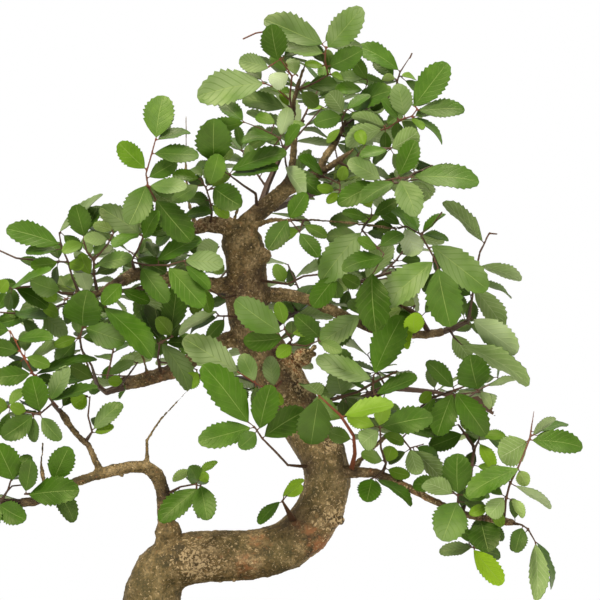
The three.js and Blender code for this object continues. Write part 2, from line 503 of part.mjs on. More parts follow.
// Shoots of the front: stems as [x, z, depth, radius], then the leaves
const shoots = [
  ["shoot_top", [
    [[-1, 255, 2, 1], [8, 259, -5, 0.8], [14, 262.5, -9, 0.8], [12.5, 270, -13, 0.8], [13, 277, -15, 0.7]],
    [[-1, 255, 2, 0.9], [1, 257, 8, 0.7], [3, 260, 13, 0.6]],
  ], [
    [11, 278, -16, 291, 14], [13.5, 275.5, 29, 294, 15], [12, 273, -10, 281, 10, -4],
    [15, 267, 28.5, 274, 11], [12, 267, 3, 268.5, 4, -4], [14, 263, 22, 261, 4, 6],
    [2, 257, 18.5, 258.5, 9, 4], [0, 255, 8.5, 247, 8, 6],
  ]],
  ["shoot_top_left", [
    [[-4, 243, 0, 1], [-5, 252, -8, 0.8], [-4, 262, -12, 0.8], [-8, 268, -15, 0.7], [-13, 275, -17, 0.7]],
    [[-5, 250, -6, 0.8], [-12, 256, -12, 0.7], [-18, 258.5, -15, 0.6]],
  ], [
    [-11, 270, -14, 286, 12.5, -6], [-16, 266, -30, 270, 10, 2], [-4, 264, -15, 257, 9, -8, -1],
    [-2, 262, -4, 272, 7, 6], [-18, 258.5, -50, 253, 16, -2], [-8, 246, -28, 251, 10, 3],
    [-4, 253, -13, 256, 5, 9], [-6, 247, -9, 254, 4, -6],
  ]],
  ["shoot_leader", [
    [[-5, 211, -5, 1.1], [-7, 218, -12, 0.8], [-8, 225, -16, 0.8], [-10, 231, -18, 0.7],
    [-20, 236, -18, 0.6],
      [-28, 239, -18, 0.5]],
  ], [
    [-10, 231, -6, 246, 8, -2, -1], [-8, 226, -1, 237, 6, -8], [-7, 235, 2, 240, 5, 5],
    [-11, 231, -27, 232, 6, -4], [-12, 238, -22, 243, 6, 5], [-28, 239, -46, 237, 7, -2, -1],
    [-5, 217, 10, 205, 9, -10], [-7, 216, 3, 203, 8, -14, -1],
  ]],
  ["shoot_right_high", [
    [[22, 237, -4, 1.1], [34, 246, -1, 0.8], [44, 251, 1, 0.8], [48, 257, 1, 0.8], [50, 264, 0, 0.7],
    [55, 271.5, 0, 0.5]],
    [[34, 246, -1, 0.7], [32, 253, -5, 0.6], [34, 260, -6, 0.5]],
  ], [
    [50, 264.5, 31, 278, 10, -3], [49, 260, 41, 262, 4, -5, -1], [50, 262, 58, 262, 3.5, 7],
    [44, 256, 31, 262, 6, -7], [31, 255, 19, 256.5, 6, -6], [34, 260, 27, 271, 7, 0],
    [26, 246, 42, 256, 9, -9],
  ]],
  ["shoot_right_top", [
    [[20, 232, -5, 1.1], [32, 233, -12, 0.8], [44, 236, -17, 0.8], [50, 240, -19, 0.8],
    [56, 242, -21, 0.7], [59, 246, -22, 0.6]],
  ], [
    [57, 247, 73, 268, 14, 0], [59, 244.5, 81, 247, 9, -3], [56, 241.5, 73, 232, 4, 3],
    [56, 241, 61, 236, 4, -9],
    [52, 242, 49, 257, 11, -6], [49, 241, 42, 250, 6, -11], [43, 237, 27, 244, 6.5, -5, -1],
    [42, 236, 22, 230, 9.5, -6, -1],
  ]],
  ["shoot_crown", [
    [[22, 234, -5, 1], [21, 240, -12, 0.8], [23, 245, -15, 0.6]],
  ], [
    [22, 243, 14, 254, 10, -8, -1], [21, 242, 9.5, 239.5, 9, -12], [20, 236, 13, 229.5, 4, 4],
    [23, 245, 34, 253, 5, 6],
  ]],
  ["shoot_stub", [
    [[-45, 187, -4, 1.2], [-44, 193, -10, 0.9], [-45, 200, -14, 0.8], [-47, 206, -17, 0.7],
    [-50, 211, -19, 0.6]],
  ], [
    [-45, 208, -41, 222, 11, -4], [-43, 206, -31, 198, 13, -14], [-51, 207, -63, 200, 8, -6],
    [-50, 211, -63, 213, 6, -3], [-49, 212, -55, 217, 5, 8], [-45, 198, -36, 192, 6, -3],
  ]],
  ["shoot_inner_left", [
    [[-21, 193, -3, 1.6], [-22, 203, -8, 1.1], [-28, 207, -13, 0.9], [-36, 213, -18, 0.7],
    [-43, 218, -14, 0.6]],
  ], [
    [-43, 218, -43, 237, 17, -12], [-36, 212, -13, 218, 7, -9], [-34, 215, -10, 227, 9, 2],
  ]],
  ["shoot_left_high", [
    [[-53, 185.5, -5, 1.2], [-60, 189, -10, 0.9], [-67, 193, -16, 0.9], [-72, 200, -22, 0.8],
    [-76, 207, -25, 0.8],
      [-77, 213, -26, 0.7], [-75, 220, -27, 0.7], [-72, 231, -28, 0.6]],
  ], [
    [-72, 231, -68.5, 251.5, 14.5, 3], [-71, 230, -56, 236, 6, 8], [-73, 223, -51.5, 224, 9.5, 2],
    [-76, 211, -62, 219, 9, 4], [-77, 207, -58, 207.5, 8, -4], [-77, 215, -90, 228, 10.5, -2],
    [-77, 208, -85, 189.5, 14, -10], [-73, 201, -55, 181, 13, -6], [-58, 192, -46, 195, 6, -8],
  ]],
  ["shoot_left_knob", [
    [[-82, 163, -12, 1.6], [-84, 170, -15, 0.9], [-81, 175, -18, 0.9], [-79, 180, -20, 0.8],
    [-77, 185, -21, 0.6]],
    [[-84, 169, -15, 0.9], [-76, 167.5, -19, 0.9], [-66, 167.5, -22, 0.8], [-57, 170, -24, 0.6]],
  ], [
    [-80, 183, -99, 196, 12, -2], [-81, 183, -92, 178, 6, -10], [-78, 180, -73, 193, 8, -5],
    [-71, 170, -51, 181, 9, -3], [-59, 170, -39, 169, 10, -2], [-66, 166, -49, 148, 13, -8],
    [-57, 167, -45, 157, 6, 4], [-79, 166, -67, 151, 11, -10], [-83, 171, -68, 164.5, 9, -8],
    [-79, 182, -86, 189, 5, 8],
  ]],
  ["shoot_bare_wood_left", [
    [[-30, 153, -2, 1.1], [-38, 151, -12, 0.8], [-48, 157, -16, 0.7], [-50, 166, -10, 0.7],
    [-40, 177, -8, 0.5]],
  ], [
    [-48, 157, -45, 145, 7, -6], [-38, 179, -50, 174, 10, -8], [-46, 170, -38, 164, 7, 6],
  ]],
  ["shoot_fork", [
    [[2, 190, -15, 1.1], [1, 188, -20, 0.8], [0, 184, -24, 0.7], [-5, 190, -27, 0.6]],
  ], [
    [-6, 190, -15, 176.5, 11, -8], [-5, 191, 2, 202, 9, -9], [-1, 184, 9, 173, 8, -8],
    [1, 188, 13, 182, 6, -4],
    [0, 185, -9, 181, 6, 8],
  ]],
  ["shoot_right_inner", [
    [[8, 212.5, -10, 1.3], [14, 211, -15, 0.8], [20, 208, -18, 0.7], [20, 203, -19, 0.5]],
  ], [
    [20, 209, 22, 216, 6, -6], [17, 205, 10, 206.5, 5, -6], [19, 204, 14, 199, 5, -5],
    [12, 213, 2, 221, 6, -8],
  ]],
  ["shoot_right_upper", [
    [[19, 219.5, -16, 1.3], [28, 214, -22, 0.9], [40, 209, -27, 0.8], [48, 211, -29, 0.8],
    [57, 211.5, -30, 0.6]],
    [[24, 216.5, -19.5, 0.9], [32, 226, -23, 0.8], [45, 226, -23, 0.6]],
  ], [
    [41, 210, 26, 220, 9, -4], [45, 225, 31, 223, 6, -8], [39, 209, 20, 200, 11, -6],
    [47, 209, 31, 201, 8, -8],
    [50, 210, 57, 195, 13.5, -12], [49, 212, 57, 229, 11, -2], [46, 226, 59, 234, 11, -8, -1],
    [57, 212, 88, 212.5, 11, -3], [33, 226, 29, 235, 6, 6],
  ]],
  ["shoot_right_hanging", [
    [[33, 188.3, -13, 1.1], [31, 185, -21, 0.8], [36, 179, -25, 0.8], [42, 173, -27, 0.7],
    [37, 164, -28, 0.6]],
    [[33, 188.3, -13, 1], [35.5, 191, -18, 0.7], [36, 196, -20, 0.5]],
  ], [
    [36, 195, 31, 203.5, 6, -5], [37, 192, 48, 200, 7, -4], [34, 191.5, 22.5, 194.5, 6, -6],
    [30, 183.5, 12, 161, 16, -8], [39, 175, 30, 180.5, 5, -8], [43, 171, 23, 168, 9, -5],
    [36, 163, 38, 136, 17, -6], [39, 176, 51, 184, 7, 6],
  ]],
  ["shoot_right_middle", [
    [[48, 185.6, -12, 1], [53, 187, -15, 0.8], [60, 183, -18, 0.8], [63, 178, -20, 0.8],
    [67, 171, -23, 0.8], [69, 166, -24, 0.6]],
  ], [
    [61, 184, 46, 196.5, 5, -3], [52, 187, 58, 171, 11, -12, -1], [61, 183, 74, 181, 4, 5],
    [66, 177, 94, 158, 16, -3],
    [66, 169, 42, 150, 15, -4], [69, 166, 75, 138.5, 18, -6], [61, 183, 71, 194, 4, 3],
  ]],
  ["shoot_trunk_upper", [
    [[-20, 160, -4, 1.2], [-6, 158, -16, 0.9], [2, 162, -20, 0.8], [11, 163, -23, 0.8],
    [20, 163, -25, 0.6]],
  ], [
    [19, 163, 7, 147.5, 11, -8], [-7, 158, -12, 167, 7, -7], [20, 163, 30, 157, 7, 6],
    [10, 163, 14, 173, 7, 7],
  ]],
  ["shoot_right_dark", [
    [[33, 136, -6, 1.1], [33, 139, -12, 0.8], [31, 143, -15, 0.6]],
  ], [
    [31, 143, 10, 130.4, 12, -4], [31, 142, 25, 151, 7, 8],
  ]],
  ["shoot_trunk_front", [
    [[-14, 124, -4, 1.3], [-8, 126, -15, 0.9], [-4, 130, -19, 0.8], [-8, 136, -22, 0.7]],
    [[-5, 128, -17, 0.9], [3, 127, -21, 0.7], [10, 130, -22, 0.6]],
  ], [
    [-10, 134, -31, 149, 15, -4], [-9, 131, -27, 129.5, 11, -9], [-3, 128, -11, 122, 7, -6],
    [-8, 138, -11, 148.5, 7, -4], [9.6, 131.5, -1, 141, 10, -10], [10, 129.5, 20, 124.5, 7, -6],
  ]],
  ["shoot_right_fan", [
    [[1, 96, -2, 2.4], [15, 100, -8, 1.5], [28.7, 104, -12, 1], [37.3, 109, -15, 1],
    [48.8, 114.6, -17, 0.8]],
    [[36.5, 108.5, -14.8, 0.9], [37, 113, -18, 0.6]],
    [[36.5, 108.5, -14.8, 0.8], [37, 102, -16, 0.6]],
  ], [
    [37.3, 113.5, 50, 140.8, 15, -3], [35.6, 110.3, 9.6, 120.5, 11.5, -6],
    [37.8, 102.6, 57.4, 111.4, 6, -5],
    [21, 101.8, 18, 113, 13, -19],
  ]],
  ["shoot_red_twig", [
    [[26, 66, -9, 1.8], [27.7, 73.5, -18, 1.4], [27, 82, -24, 1.2], [20.5, 92, -28, 1],
    [8.6, 103, -31, 0.7]],
  ], [
    [11, 102.5, 2.4, 110.5, 8, -10, -1], [22.3, 92.6, 45, 99, 8.5, -4], [21, 90, 4, 99, 12, 12],
    [9, 101, 5.5, 77.5, 16, 8],
    [26.5, 80, 14.5, 84, 8, 6],
  ]],
  ["shoot_low_right_inner", [
    [[41, 62.2, -11, 1.5], [43, 68, -16, 1], [40.5, 76, -20, 0.9], [40, 87, -22, 0.7]],
    [[42.6, 66, -14.3, 0.9], [38, 61.5, -17, 0.8], [35, 60.5, -17, 0.7]],
  ], [
    [39, 87, 43, 98.5, 8, -8], [41, 86.4, 65, 91.5, 12, -3], [40, 85, 29, 76.5, 11, -12, -1],
    [41, 83, 52, 79, 6, 4], [37, 87, 24, 92, 8, 6], [43, 67.5, 46, 76.5, 8, -6], [42, 69, 32, 73.5, 6, -7],
    [43.5, 65, 53.5, 62.5, 6.5, -6], [36, 61.5, 34, 51.5, 12, -16], [39, 60, 56, 51, 5, -3],
  ]],
  ["shoot_right_low_fan", [
    [[58, 94.5, -2, 1], [66, 101, -4, 1], [76.5, 104.5, -9, 0.9], [84, 107.5, -13, 0.7],
    [89.5, 104.5, -15, 0.6]],
  ], [
    [76.5, 103.5, 69.5, 84, 14, -8], [77.5, 104, 92.8, 84.5, 13, -5], [89.2, 104.5, 85.5, 120.5, 16, -18],
    [76.5, 106.5, 65, 118.8, 9, -4], [67, 105, 60.5, 99.5, 6, -4], [90, 104, 96.7, 96.5, 5, -6, -1],
  ]],
  ["shoot_right_end", [
    [[70, 133.7, -7, 2.3], [78, 136.8, -8, 2], [84, 139.5, -8, 1.5], [86, 150, -3, 0.9],
    [87.5, 162, 1, 0.9],
      [90, 174, 3, 0.8], [95, 184, 3, 0.6]],
    [[83, 139, -8, 1], [86, 141.5, -14, 0.7]],
    [[75, 135.2, -7.5, 1.2], [77, 131.5, -12, 0.8], [80.5, 128, -14, 0.6]],
  ], [
    [85, 141.3, 109, 126, 13, -4, -1], [81, 127.5, 115, 112.5, 7.5, -3, -1],
    [75.5, 134, 84.5, 121, 9, -8, -1],
    [91.5, 179, 73, 198.5, 7, 4, -1], [91, 167, 110, 162.5, 6, 4, -1], [91, 158, 106, 154, 4, 9],
    [86, 157, 101.5, 137.5, 10, -4, -1], [86, 152, 77, 158, 8, 10],
  ]],
  ["shoot_right_arm", [
    [[65, 133, -6, 2], [60, 142, -9, 1.7], [50, 148, -11, 1.4], [40, 150, -11, 0.9]],
    [[59.5, 142, -9, 1], [57.5, 138, -15, 0.8], [57, 132, -16, 0.6]],
  ], [
    [57, 132.3, 57.5, 142, 10, -13], [55, 138, 52.5, 126.5, 5, -3], [58, 147, 50, 152, 6, -6, -1],
    [52, 147, 44, 141, 6, -7, -1],
  ]],
  ["shoot_low_right_middle", [
    [[47, 85.2, -2, 1.2], [51, 81, -10, 0.9], [55, 76, -15, 0.7], [62, 78, -12, 0.6]],
    [[51, 81, -10, 0.8], [54, 84, -12, 0.6]],
  ], [
    [55, 77, 59.3, 62.5, 9, -8, -1], [57, 74.5, 72, 61, 8.5, -6, -1], [58, 76.5, 70.5, 69, 6.5, 4],
    [54, 84, 74, 88, 10, 5],
  ]],
  ["shoot_low_right_rosette", [
    [[78, 44.5, -21.6, 1.4], [79, 48, -26, 1], [79, 52, -28, 0.8], [74, 56, -27, 0.7]],
  ], [
    [79, 51.8, 79, 71.5, 14.5, -4], [77, 52.5, 61.5, 60, 10, -7, -1], [79, 50, 72, 31.5, 18, -16],
    [72, 57, 56, 59.5, 8, 7],
  ]],
  ["shoot_low_right_yellow", [
    [[81, 43.2, -22, 1.6], [85, 55, -12, 1.3], [86, 67, -6, 1.3], [87.5, 76, -4, 1.3], [83.5, 82, -4, 1.1],
      [79, 88, -4, 0.8]],
    [[87, 75, -4, 1], [89.5, 80, -10, 0.8], [90, 83, -12, 0.6]],
  ], [
    [90, 82.5, 102, 82.3, 5, -4], [89.5, 79, 97, 67, 7, -6], [88, 84, 81, 91.5, 7, 4],
    [82.5, 83.5, 65.5, 77.3, 9.5, -4],
  ]],
  ["shoot_low_right_under", [
    [[92, 41, -24, 1.4], [91, 38.5, -27, 0.9], [88, 33, -24, 0.8], [87, 26, -22, 0.7]],
    [[91.2, 39, -26.5, 0.9], [95, 46, -30, 0.7]],
  ], [
    [90.5, 39.5, 94, 25.5, 16.5, -14], [86, 26, 70.5, 25.3, 6, -2], [87, 24.8, 101, 9, 10.5, -2],
    [95, 47, 85.5, 44, 5, -4], [96, 47, 101, 37, 6, 5],
  ]],
  ["shoot_low_right_side", [
    [[102, 40.5, -26, 1.5], [103, 50, -29, 1], [105, 58, -30, 0.9], [109, 66, -28, 0.9],
    [112, 73, -24, 0.8],
      [115, 81, -20, 0.8], [116, 88, -18, 0.6], [117, 94.5, -17, 0.4]],
  ], [
    [109, 65.5, 84.5, 54, 10, -6], [109, 66, 113, 58, 7, 4, -1], [108, 57, 125.5, 48, 4, 1, -1],
    [105.5, 50.5, 112.5, 42, 5, -3, -1], [102, 52, 94.5, 42, 10, -8, -1],
    [115, 80, 99.5, 71.5, 15.5, -9, -1],
    [116, 79.8, 140, 78.3, 11, -5], [116, 81.5, 126, 91.5, 5, 3, -1], [118, 84, 132.5, 89.3, 4, 8],
  ]],
  ["shoot_low_right_tip", [
    [[106, 38.7, -27.5, 1.4], [111, 37.6, -31, 0.8], [114, 35.5, -32, 0.8], [118, 28.5, -31, 0.6]],
  ], [
    [111.3, 37, 108, 24.8, 8.5, -10], [118, 28, 120.6, 1.2, 9, -3, -1], [119, 29, 130, 8, 4, 3],
  ]],
  ["shoot_left_upper", [
    [[-101, 153, -14, 1.5], [-103, 163, -17, 0.9], [-103, 170, -19, 0.9], [-106.5, 174, -20, 0.8],
    [-108.5, 181, -21, 0.6]],
    [[-103, 170, -19, 0.9], [-96, 178, -21, 0.8], [-93, 184, -22, 0.6]],
  ], [
    [-101, 168, -85.5, 172, 8.5, -5], [-95, 180, -107, 181, 7, -8], [-108, 182, -112, 196.5, 11, -6],
    [-107, 179, -118, 175, 6, -7], [-93, 185, -103, 188, 5, -5, -1], [-105, 163, -109.5, 172.5, 6.5, -6],
    [-94, 182, -88, 192, 6, 6],
  ]],
  ["shoot_left_far", [
    [[-110, 153, -14, 1.3], [-114, 162, -15, 0.9], [-116, 169.5, -16, 0.8], [-119, 176, -17, 0.8],
    [-120.5, 184, -18, 0.6]],
    [[-116, 169, -16, 0.8], [-126, 169.5, -14, 0.8], [-142, 171, -10, 0.8], [-153, 176, -8, 0.7],
    [-164, 184, -8, 0.5]],
  ], [
    [-120, 177.5, -145.5, 185.5, 12, -4], [-120.5, 184.5, -101, 203.5, 6.5, -2],
    [-122, 175, -136, 175.5, 5, -5],
    [-120, 168.5, -134, 167.5, 8, -5], [-116, 169, -109.5, 167, 6, -6], [-156, 177, -170, 172, 10, -4],
    [-164, 184, -178, 194, 11, -2], [-160, 181, -152, 193, 8, 4], [-165, 184, -176, 179, 8, 6],
  ]],
  ["shoot_left_tufts", [
    [[-112, 153, -14, 1.5], [-119, 153.5, -15, 1.1], [-126, 156, -16, 0.8], [-134, 157, -17, 0.8],
    [-144, 156, -16, 0.8], [-156, 156, -14, 0.6]],
  ], [
    [-119, 155, -133, 159, 10, -10], [-144, 156, -126, 165, 5, -4], [-143, 156, -126, 149, 7, -7],
    [-153, 151, -147, 159, 7, -5],
    [-132, 157, -122, 150, 7, 4], [-156, 156, -173, 161, 11, -3], [-154, 155, -168, 147, 9, -6],
  ]],
  ["shoot_left_long", [
    [[-91.5, 158, -13, 1.4], [-92, 157, -18, 1], [-96, 152, -21, 0.8], [-97.5, 147, -22, 0.7]],
    [[-92, 157, -18, 0.9], [-88, 159.5, -20, 0.7]],
  ], [
    [-97.5, 146, -73, 125, 11, -4], [-88, 159, -98, 149, 9, -8],
  ]],
  ["shoot_left_middle", [
    [[-107, 152.5, -14, 1.3], [-113, 149, -10, 1], [-120, 147.5, -9, 0.9], [-128, 143.5, -8, 0.8],
    [-140, 143, -8, 0.8], [-152, 144, -8, 0.6]],
  ], [
    [-143, 144, -128, 142, 6, -6], [-134, 142, -153, 138, 8, -5], [-129, 142.5, -118, 133, 10, -7],
    [-118, 141.5, -127, 146, 6, -8], [-152, 144, -168, 140, 10, -3],
  ]],
  ["shoot_left_red", [
    [[-120.5, 95.5, -14, 1.3], [-126, 102, -17, 0.9], [-131.5, 109.5, -20, 0.9], [-136, 118, -22, 0.8],
    [-139, 123, -22, 0.8],
      [-145, 135, -22, 0.6]],
  ], [
    [-140, 124, -155, 127, 9, -4], [-142, 130, -125, 133, 6, -5], [-137, 122, -126, 117.5, 7, -4],
    [-134, 113, -153, 112, 9.5, -5], [-136, 119, -121, 128.5, 5, 4, -1], [-132, 113, -104, 123.5, 5, 4],
    [-145, 135, -160, 137, 9, 2],
  ]],
  ["shoot_left_hidden_fork", [
    [[-119.5, 94, -14, 1.6], [-124, 98, -22, 0.9], [-130, 93, -26, 0.8], [-138, 94, -27, 0.8],
    [-147, 97, -26, 0.6]],
  ], [
    [-129.5, 93, -134, 110.5, 13, -6], [-125, 100, -117, 116, 9, -4], [-124, 100, -103, 108, 6, -2],
    [-133, 92, -148, 82, 12, -5], [-129, 91, -120.5, 81, 8, -6], [-136, 94, -144, 97, 6, -8],
    [-145, 95, -155, 99, 8, -4],
    [-146, 97, -139, 106, 5, 5], [-147, 97, -163, 92, 10, 4],
  ]],
  ["shoot_left_low_fork", [
    [[-107, 79.2, -16.6, 1.6], [-104, 84, -21, 0.8], [-106, 92, -22, 0.8], [-105, 102, -22, 0.6]],
  ], [
    [-103.5, 85, -90.5, 98, 9, -3], [-103, 83, -94, 87, 5, -6], [-105, 104, -113, 97, 9, -9],
  ]],
  ["shoot_left_rosette", [
    [[-86, 107.6, 4, 2.9], [-97, 104, 3, 2.2], [-101, 107, 1, 1.6], [-104, 117, -8, 0.9],
    [-109, 125, -14, 0.9], [-110, 131, -17, 0.9], [-108.5, 137, -19, 0.7]],
    [[-91, 106, 3.5, 1.3], [-86, 112, -4, 0.8], [-81, 119, -8, 0.7]],
  ], [
    [-107, 136, -89.5, 129.5, 12, -7], [-108.5, 136.5, -107.5, 149.5, 18, -22],
    [-112, 131, -122, 127.5, 6, -5],
    [-82, 120, -94, 114, 6, -4], [-87, 109, -95, 109.5, 6, -8], [-104, 110, -114, 116.5, 8, -6],
  ]],
  ["shoot_centre_left", [
    [[-69, 112.5, 5, 1.7], [-71, 121, -4, 0.9], [-70, 129, -9, 0.9], [-63, 132, -12, 0.6]],
    [[-70.5, 119, -2, 0.9], [-60, 118, -8, 0.8], [-51, 115, -9, 0.6]],
  ], [
    [-63, 131, -71, 140.5, 8.5, -6], [-69.5, 129, -54, 109, 10, -8], [-50, 115, -57, 107, 8, -4],
    [-71, 128, -83, 134, 8, 4],
  ]],
  ["shoot_centre_pale", [
    [[-27, 141, -4, 1.2], [-36, 142, -13, 0.8], [-42, 142, -16, 0.6]],
  ], [
    [-40, 145, -61, 135.5, 5, -4, -1], [-42, 141, -57.5, 136, 7, 3], [-38, 140, -46, 131.5, 7, -6],
  ]],
  ["shoot_centre_dark", [
    [[6, 67, -3, 1.5], [0, 67, -7, 1.2], [-6, 67.5, -13, 0.9], [-12, 74, -20, 0.9], [-19, 81, -26, 0.8],
    [-23, 87, -29, 0.7]],
  ], [
    [-26, 89, -45.5, 117, 16, -5], [-25, 86, -49, 81, 12, -8], [-22, 84, -29, 77.5, 9, -10],
    [-20, 86, -15, 105.5, 12.5, -6],
    [-19, 81, 2, 94, 14, -2],
  ]],
  ["shoot_centre_red", [
    [[-9, 110, -2, 1.4], [-10, 108.5, -9, 1.1], [-13, 105.5, -15, 0.8], [-20, 107, -19, 0.7],
    [-31, 114, -22, 0.6]],
  ], [
    [-22, 108.5, -29, 122.5, 9, -5], [-13, 106, -15, 121, 9, -4], [-31, 114, -56, 131.5, 15, -2],
    [-16, 106, -9, 98, 6, 6],
  ]],
  ["shoot_lowest_limb", [
    [[-66, 53, -9, 1.4], [-60, 56.5, -14, 0.8], [-52, 58, -18, 0.8], [-51, 63, -19, 0.6]],
  ], [
    [-51.5, 55.5, -69.5, 40.5, 11, -6], [-49.5, 57, -46.5, 41, 12, -8], [-54, 64.5, -64, 61, 5, -2, -1],
    [-51, 58.5, -54.5, 66, 7, -8], [-51, 59, -46.5, 63, 6, -6], [-50.3, 63.5, -42, 69.5, 4, 4],
  ]],
  ["shoot_trunk_low", [
    [[-3, 40, -4, 2.6], [-6, 45, -10, 1.6], [-9, 50, -13, 0.7]],
  ], [
    [-9.5, 50.5, -21, 39.5, 5, -3], [-8.5, 52, 0.5, 60.5, 4, -3], [-7, 52, 1, 57, 6, -8],
  ]],
  ["shoot_left_limb_end", [
    [[-131, 50, -22.7, 2], [-134, 53, -29, 1], [-138, 53, -30, 0.8]],
    [[-132, 51.5, -26, 0.9], [-126, 56, -28, 0.9], [-121, 59, -28, 0.8]],
  ], [
    [-123, 60, -116, 75.5, 13, -5], [-136.5, 52, -112.5, 55.5, 12, -4], [-137.5, 52.5, -135, 69, 9, -6],
    [-122, 56, -113, 40.5, 9, -4],
  ]],
  ["shoot_left_limb_far", [
    [[-138.5, 48.8, -24, 2.4], [-150, 50, -24, 1.4], [-160, 55, -22, 1.1], [-165, 60, -23, 0.9],
    [-170, 68, -24, 0.6]],
    [[-149, 50, -24, 1.1], [-146, 55, -28, 0.8], [-144.5, 60, -29, 0.7]],
  ], [
    [-143, 59.5, -151, 76, 15, -8], [-150, 47.5, -139, 41, 11, -8], [-152, 50, -156, 36, 10, -4],
    [-165, 60, -179, 60, 11, -2],
    [-170, 68, -180, 80, 10, 2], [-170, 67, -161, 79, 9, -4], [-160, 55, -170, 46, 9, -3],
  ]],
];

// Rear boughs grow from the trunk away from the viewer. Each is a stem with side stems, whose
// leaves keep behind the front foliage, so that the gaps in the crown stay open.
const rearBoughs = [
  ["bough_rear_top", [[-27, 172, 3, 3], [-22, 190, 22, 2.4], [-16, 208, 36, 1.8], [-8, 226, 44, 1.4],
  [2, 240, 46, 0.9]]],
  ["bough_rear_high", [[-14, 196, -2, 2.6], [8, 204, 14, 2], [30, 208, 28, 1.5], [50, 208, 38, 1]]],
  ["bough_rear_left", [[-26, 150, 4, 3.4], [-44, 156, 24, 2.6], [-66, 158, 40, 2], [-92, 154, 50, 1.5],
  [-116, 152, 54, 1]]],
  ["bough_rear_middle", [[-18, 125, 6, 3.2], [-12, 138, 28, 2.4], [4, 150, 48, 1.8], [26, 158, 58, 1.3],
  [46, 164, 62, 0.9]]],
  ["bough_rear_right", [[4, 86, 6, 3.2], [24, 98, 24, 2.4], [46, 106, 38, 1.8], [68, 104, 48, 1.3],
  [88, 98, 50, 0.9]]],
  ["bough_rear_low", [[-10, 108, 8, 3.2], [-30, 110, 26, 2.4], [-54, 112, 42, 1.8], [-80, 112, 52, 1.3],
  [-104, 108, 54, 0.9]]],
];

// Whether a point of the view lies in the foliage of the front or close beside it
function nearFoliage([x, z]) {
  return [0, 1, 2, 3, 4, 5, 6, 7, 8].some((i) => {
    const reach = i < 8 ? FOLIAGE_MARGIN : 0;
    return covered([x + reach * Math.cos((i * Math.PI) / 4), z + reach * Math.sin((i * Math.PI) / 4)]);
  });
}

function rearLeaf(name, at, heading) {
  const length = between(REAR_LEAF_SHORTEST, REAR_LEAF_LONGEST);
  const tip = at.clone().addScaledVector(heading, length);
  const up = new THREE.Vector3(between(-0.4, 0.4), between(0, 0.7), 1).normalize();
  const width = length * between(0.48, 0.58);
  const base = at.clone().addScaledVector(heading, 1 + SHORTEST_STALK);
  const fold = LEAF_FOLD * between(0.5, 1.5);
  const arch = LEAF_ARCH * between(0.2, 1.6);
  const leaf = leafSolid({ root: at, base, tip, up, width, fold, arch, outline: youngLeafOutline });
  const showing = leaf.ring.filter((point) => !nearFoliage(seenAt(point))).length;
  return showing <= CORNERS_ALLOWED_TO_SHOW && isClear(leaf, name) ? leaf : null;
}

// The points of a bough's side stem, which leave the bough in turn all round it
function sidePoints(centres, i) {
  const along = 1 + ((centres.length - 1.4) * i) / SIDE_STEMS;
  const index = Math.min(Math.floor(along), centres.length - 2);
  const start = centres[index].clone().lerp(centres[index + 1], along - index);
  const forward = centres[index + 1].clone().sub(centres[index]).normalize();
  const turn = i * 2.4 + between(-0.3, 0.3);
  const rise = 0.5 * Math.sin(turn);
  const way = new THREE.Vector3(Math.cos(turn), rise + 0.35, rise + 0.5);
  way.addScaledVector(forward, 0.5).normalize();
  const reach = SIDE_REACH * between(0.75, 1.1);
  const middle = start.clone().addScaledVector(way, reach * 0.5);
  const end = start.clone().addScaledVector(way, reach).add(new THREE.Vector3(0, 0, between(-2, 4)));
  return { start, middle, end, way };
}

function pointOn({ start, middle, end }, share) {
  return share < 0.5 ? start.clone().lerp(middle, share * 2) : middle.clone().lerp(end, share * 2 - 1);
}

function makeBough(name, path) {
  const parts = [stem(path, TWIG_SIDES)];
  keep(parts[0], name);
  const centres = path.map(place);
  for (let i = 0; i < SIDE_STEMS; i++) {
    const points = sidePoints(centres, i);
    const route = [points.start, points.middle, points.end].map((point, k) => {
      const [x, z] = seenAt(point);
      return [x, z, point.y, 1 - 0.22 * k];
    });
    const side = stem(route, SHOOT_SIDES);
    const box = side.boundingBox();
    if (placed.some((other) => other.shoot !== name && !clearOf(side, box, other.solid, CLEARANCE))) {
      continue;
    }
    parts.push(side);
    keep(side, name);
    for (let k = 0; k < LEAVES_A_SIDE; k++) {
      const last = k === LEAVES_A_SIDE - 1;
      const at = pointOn(points, last ? 0.99 : 0.3 + (0.66 * k) / LEAVES_A_SIDE);
      for (let attempt = 0; attempt < LEAF_TRIES; attempt++) {
        const spin = k * Math.PI + between(-1.1, 1.1);
        const heading = new THREE.Vector3(Math.cos(spin), 0.5 * Math.sin(spin) + 0.3, between(-0.6, 0.3));
        heading.addScaledVector(points.way, last ? 1 : 0.6).normalize();
        const leaf = rearLeaf(name, at, heading);
        if (leaf) {
          parts.push(leaf.solid);
          keep(leaf.solid, name, leaf.blade);
          break;
        }
      }
    }
  }
  return { name, solid: Manifold.union(parts) };
}

// Pot: a turned profile drawn out to an oval, on four feet, with two drain holes
function oval(profile) {
  const outline = profile.map(([radius, z]) => new THREE.Vector2(radius, z));
  const geometry = new THREE.LatheGeometry(outline, POT_SIDES);
  geometry.rotateX(Math.PI / 2);
  geometry.scale(1, POT_WIDTH / POT_LENGTH, 1);
  geometry.translate(POT_X, POT_DEPTH, 0);
  return solidFromGeometry(geometry);
}

const potRadius = POT_LENGTH / 2;
const potBottom = RIM_Z - POT_HEIGHT + FOOT_HEIGHT;
const innerRadius = potRadius - POT_WALL - 3;
const floorTop = potBottom + POT_FLOOR;

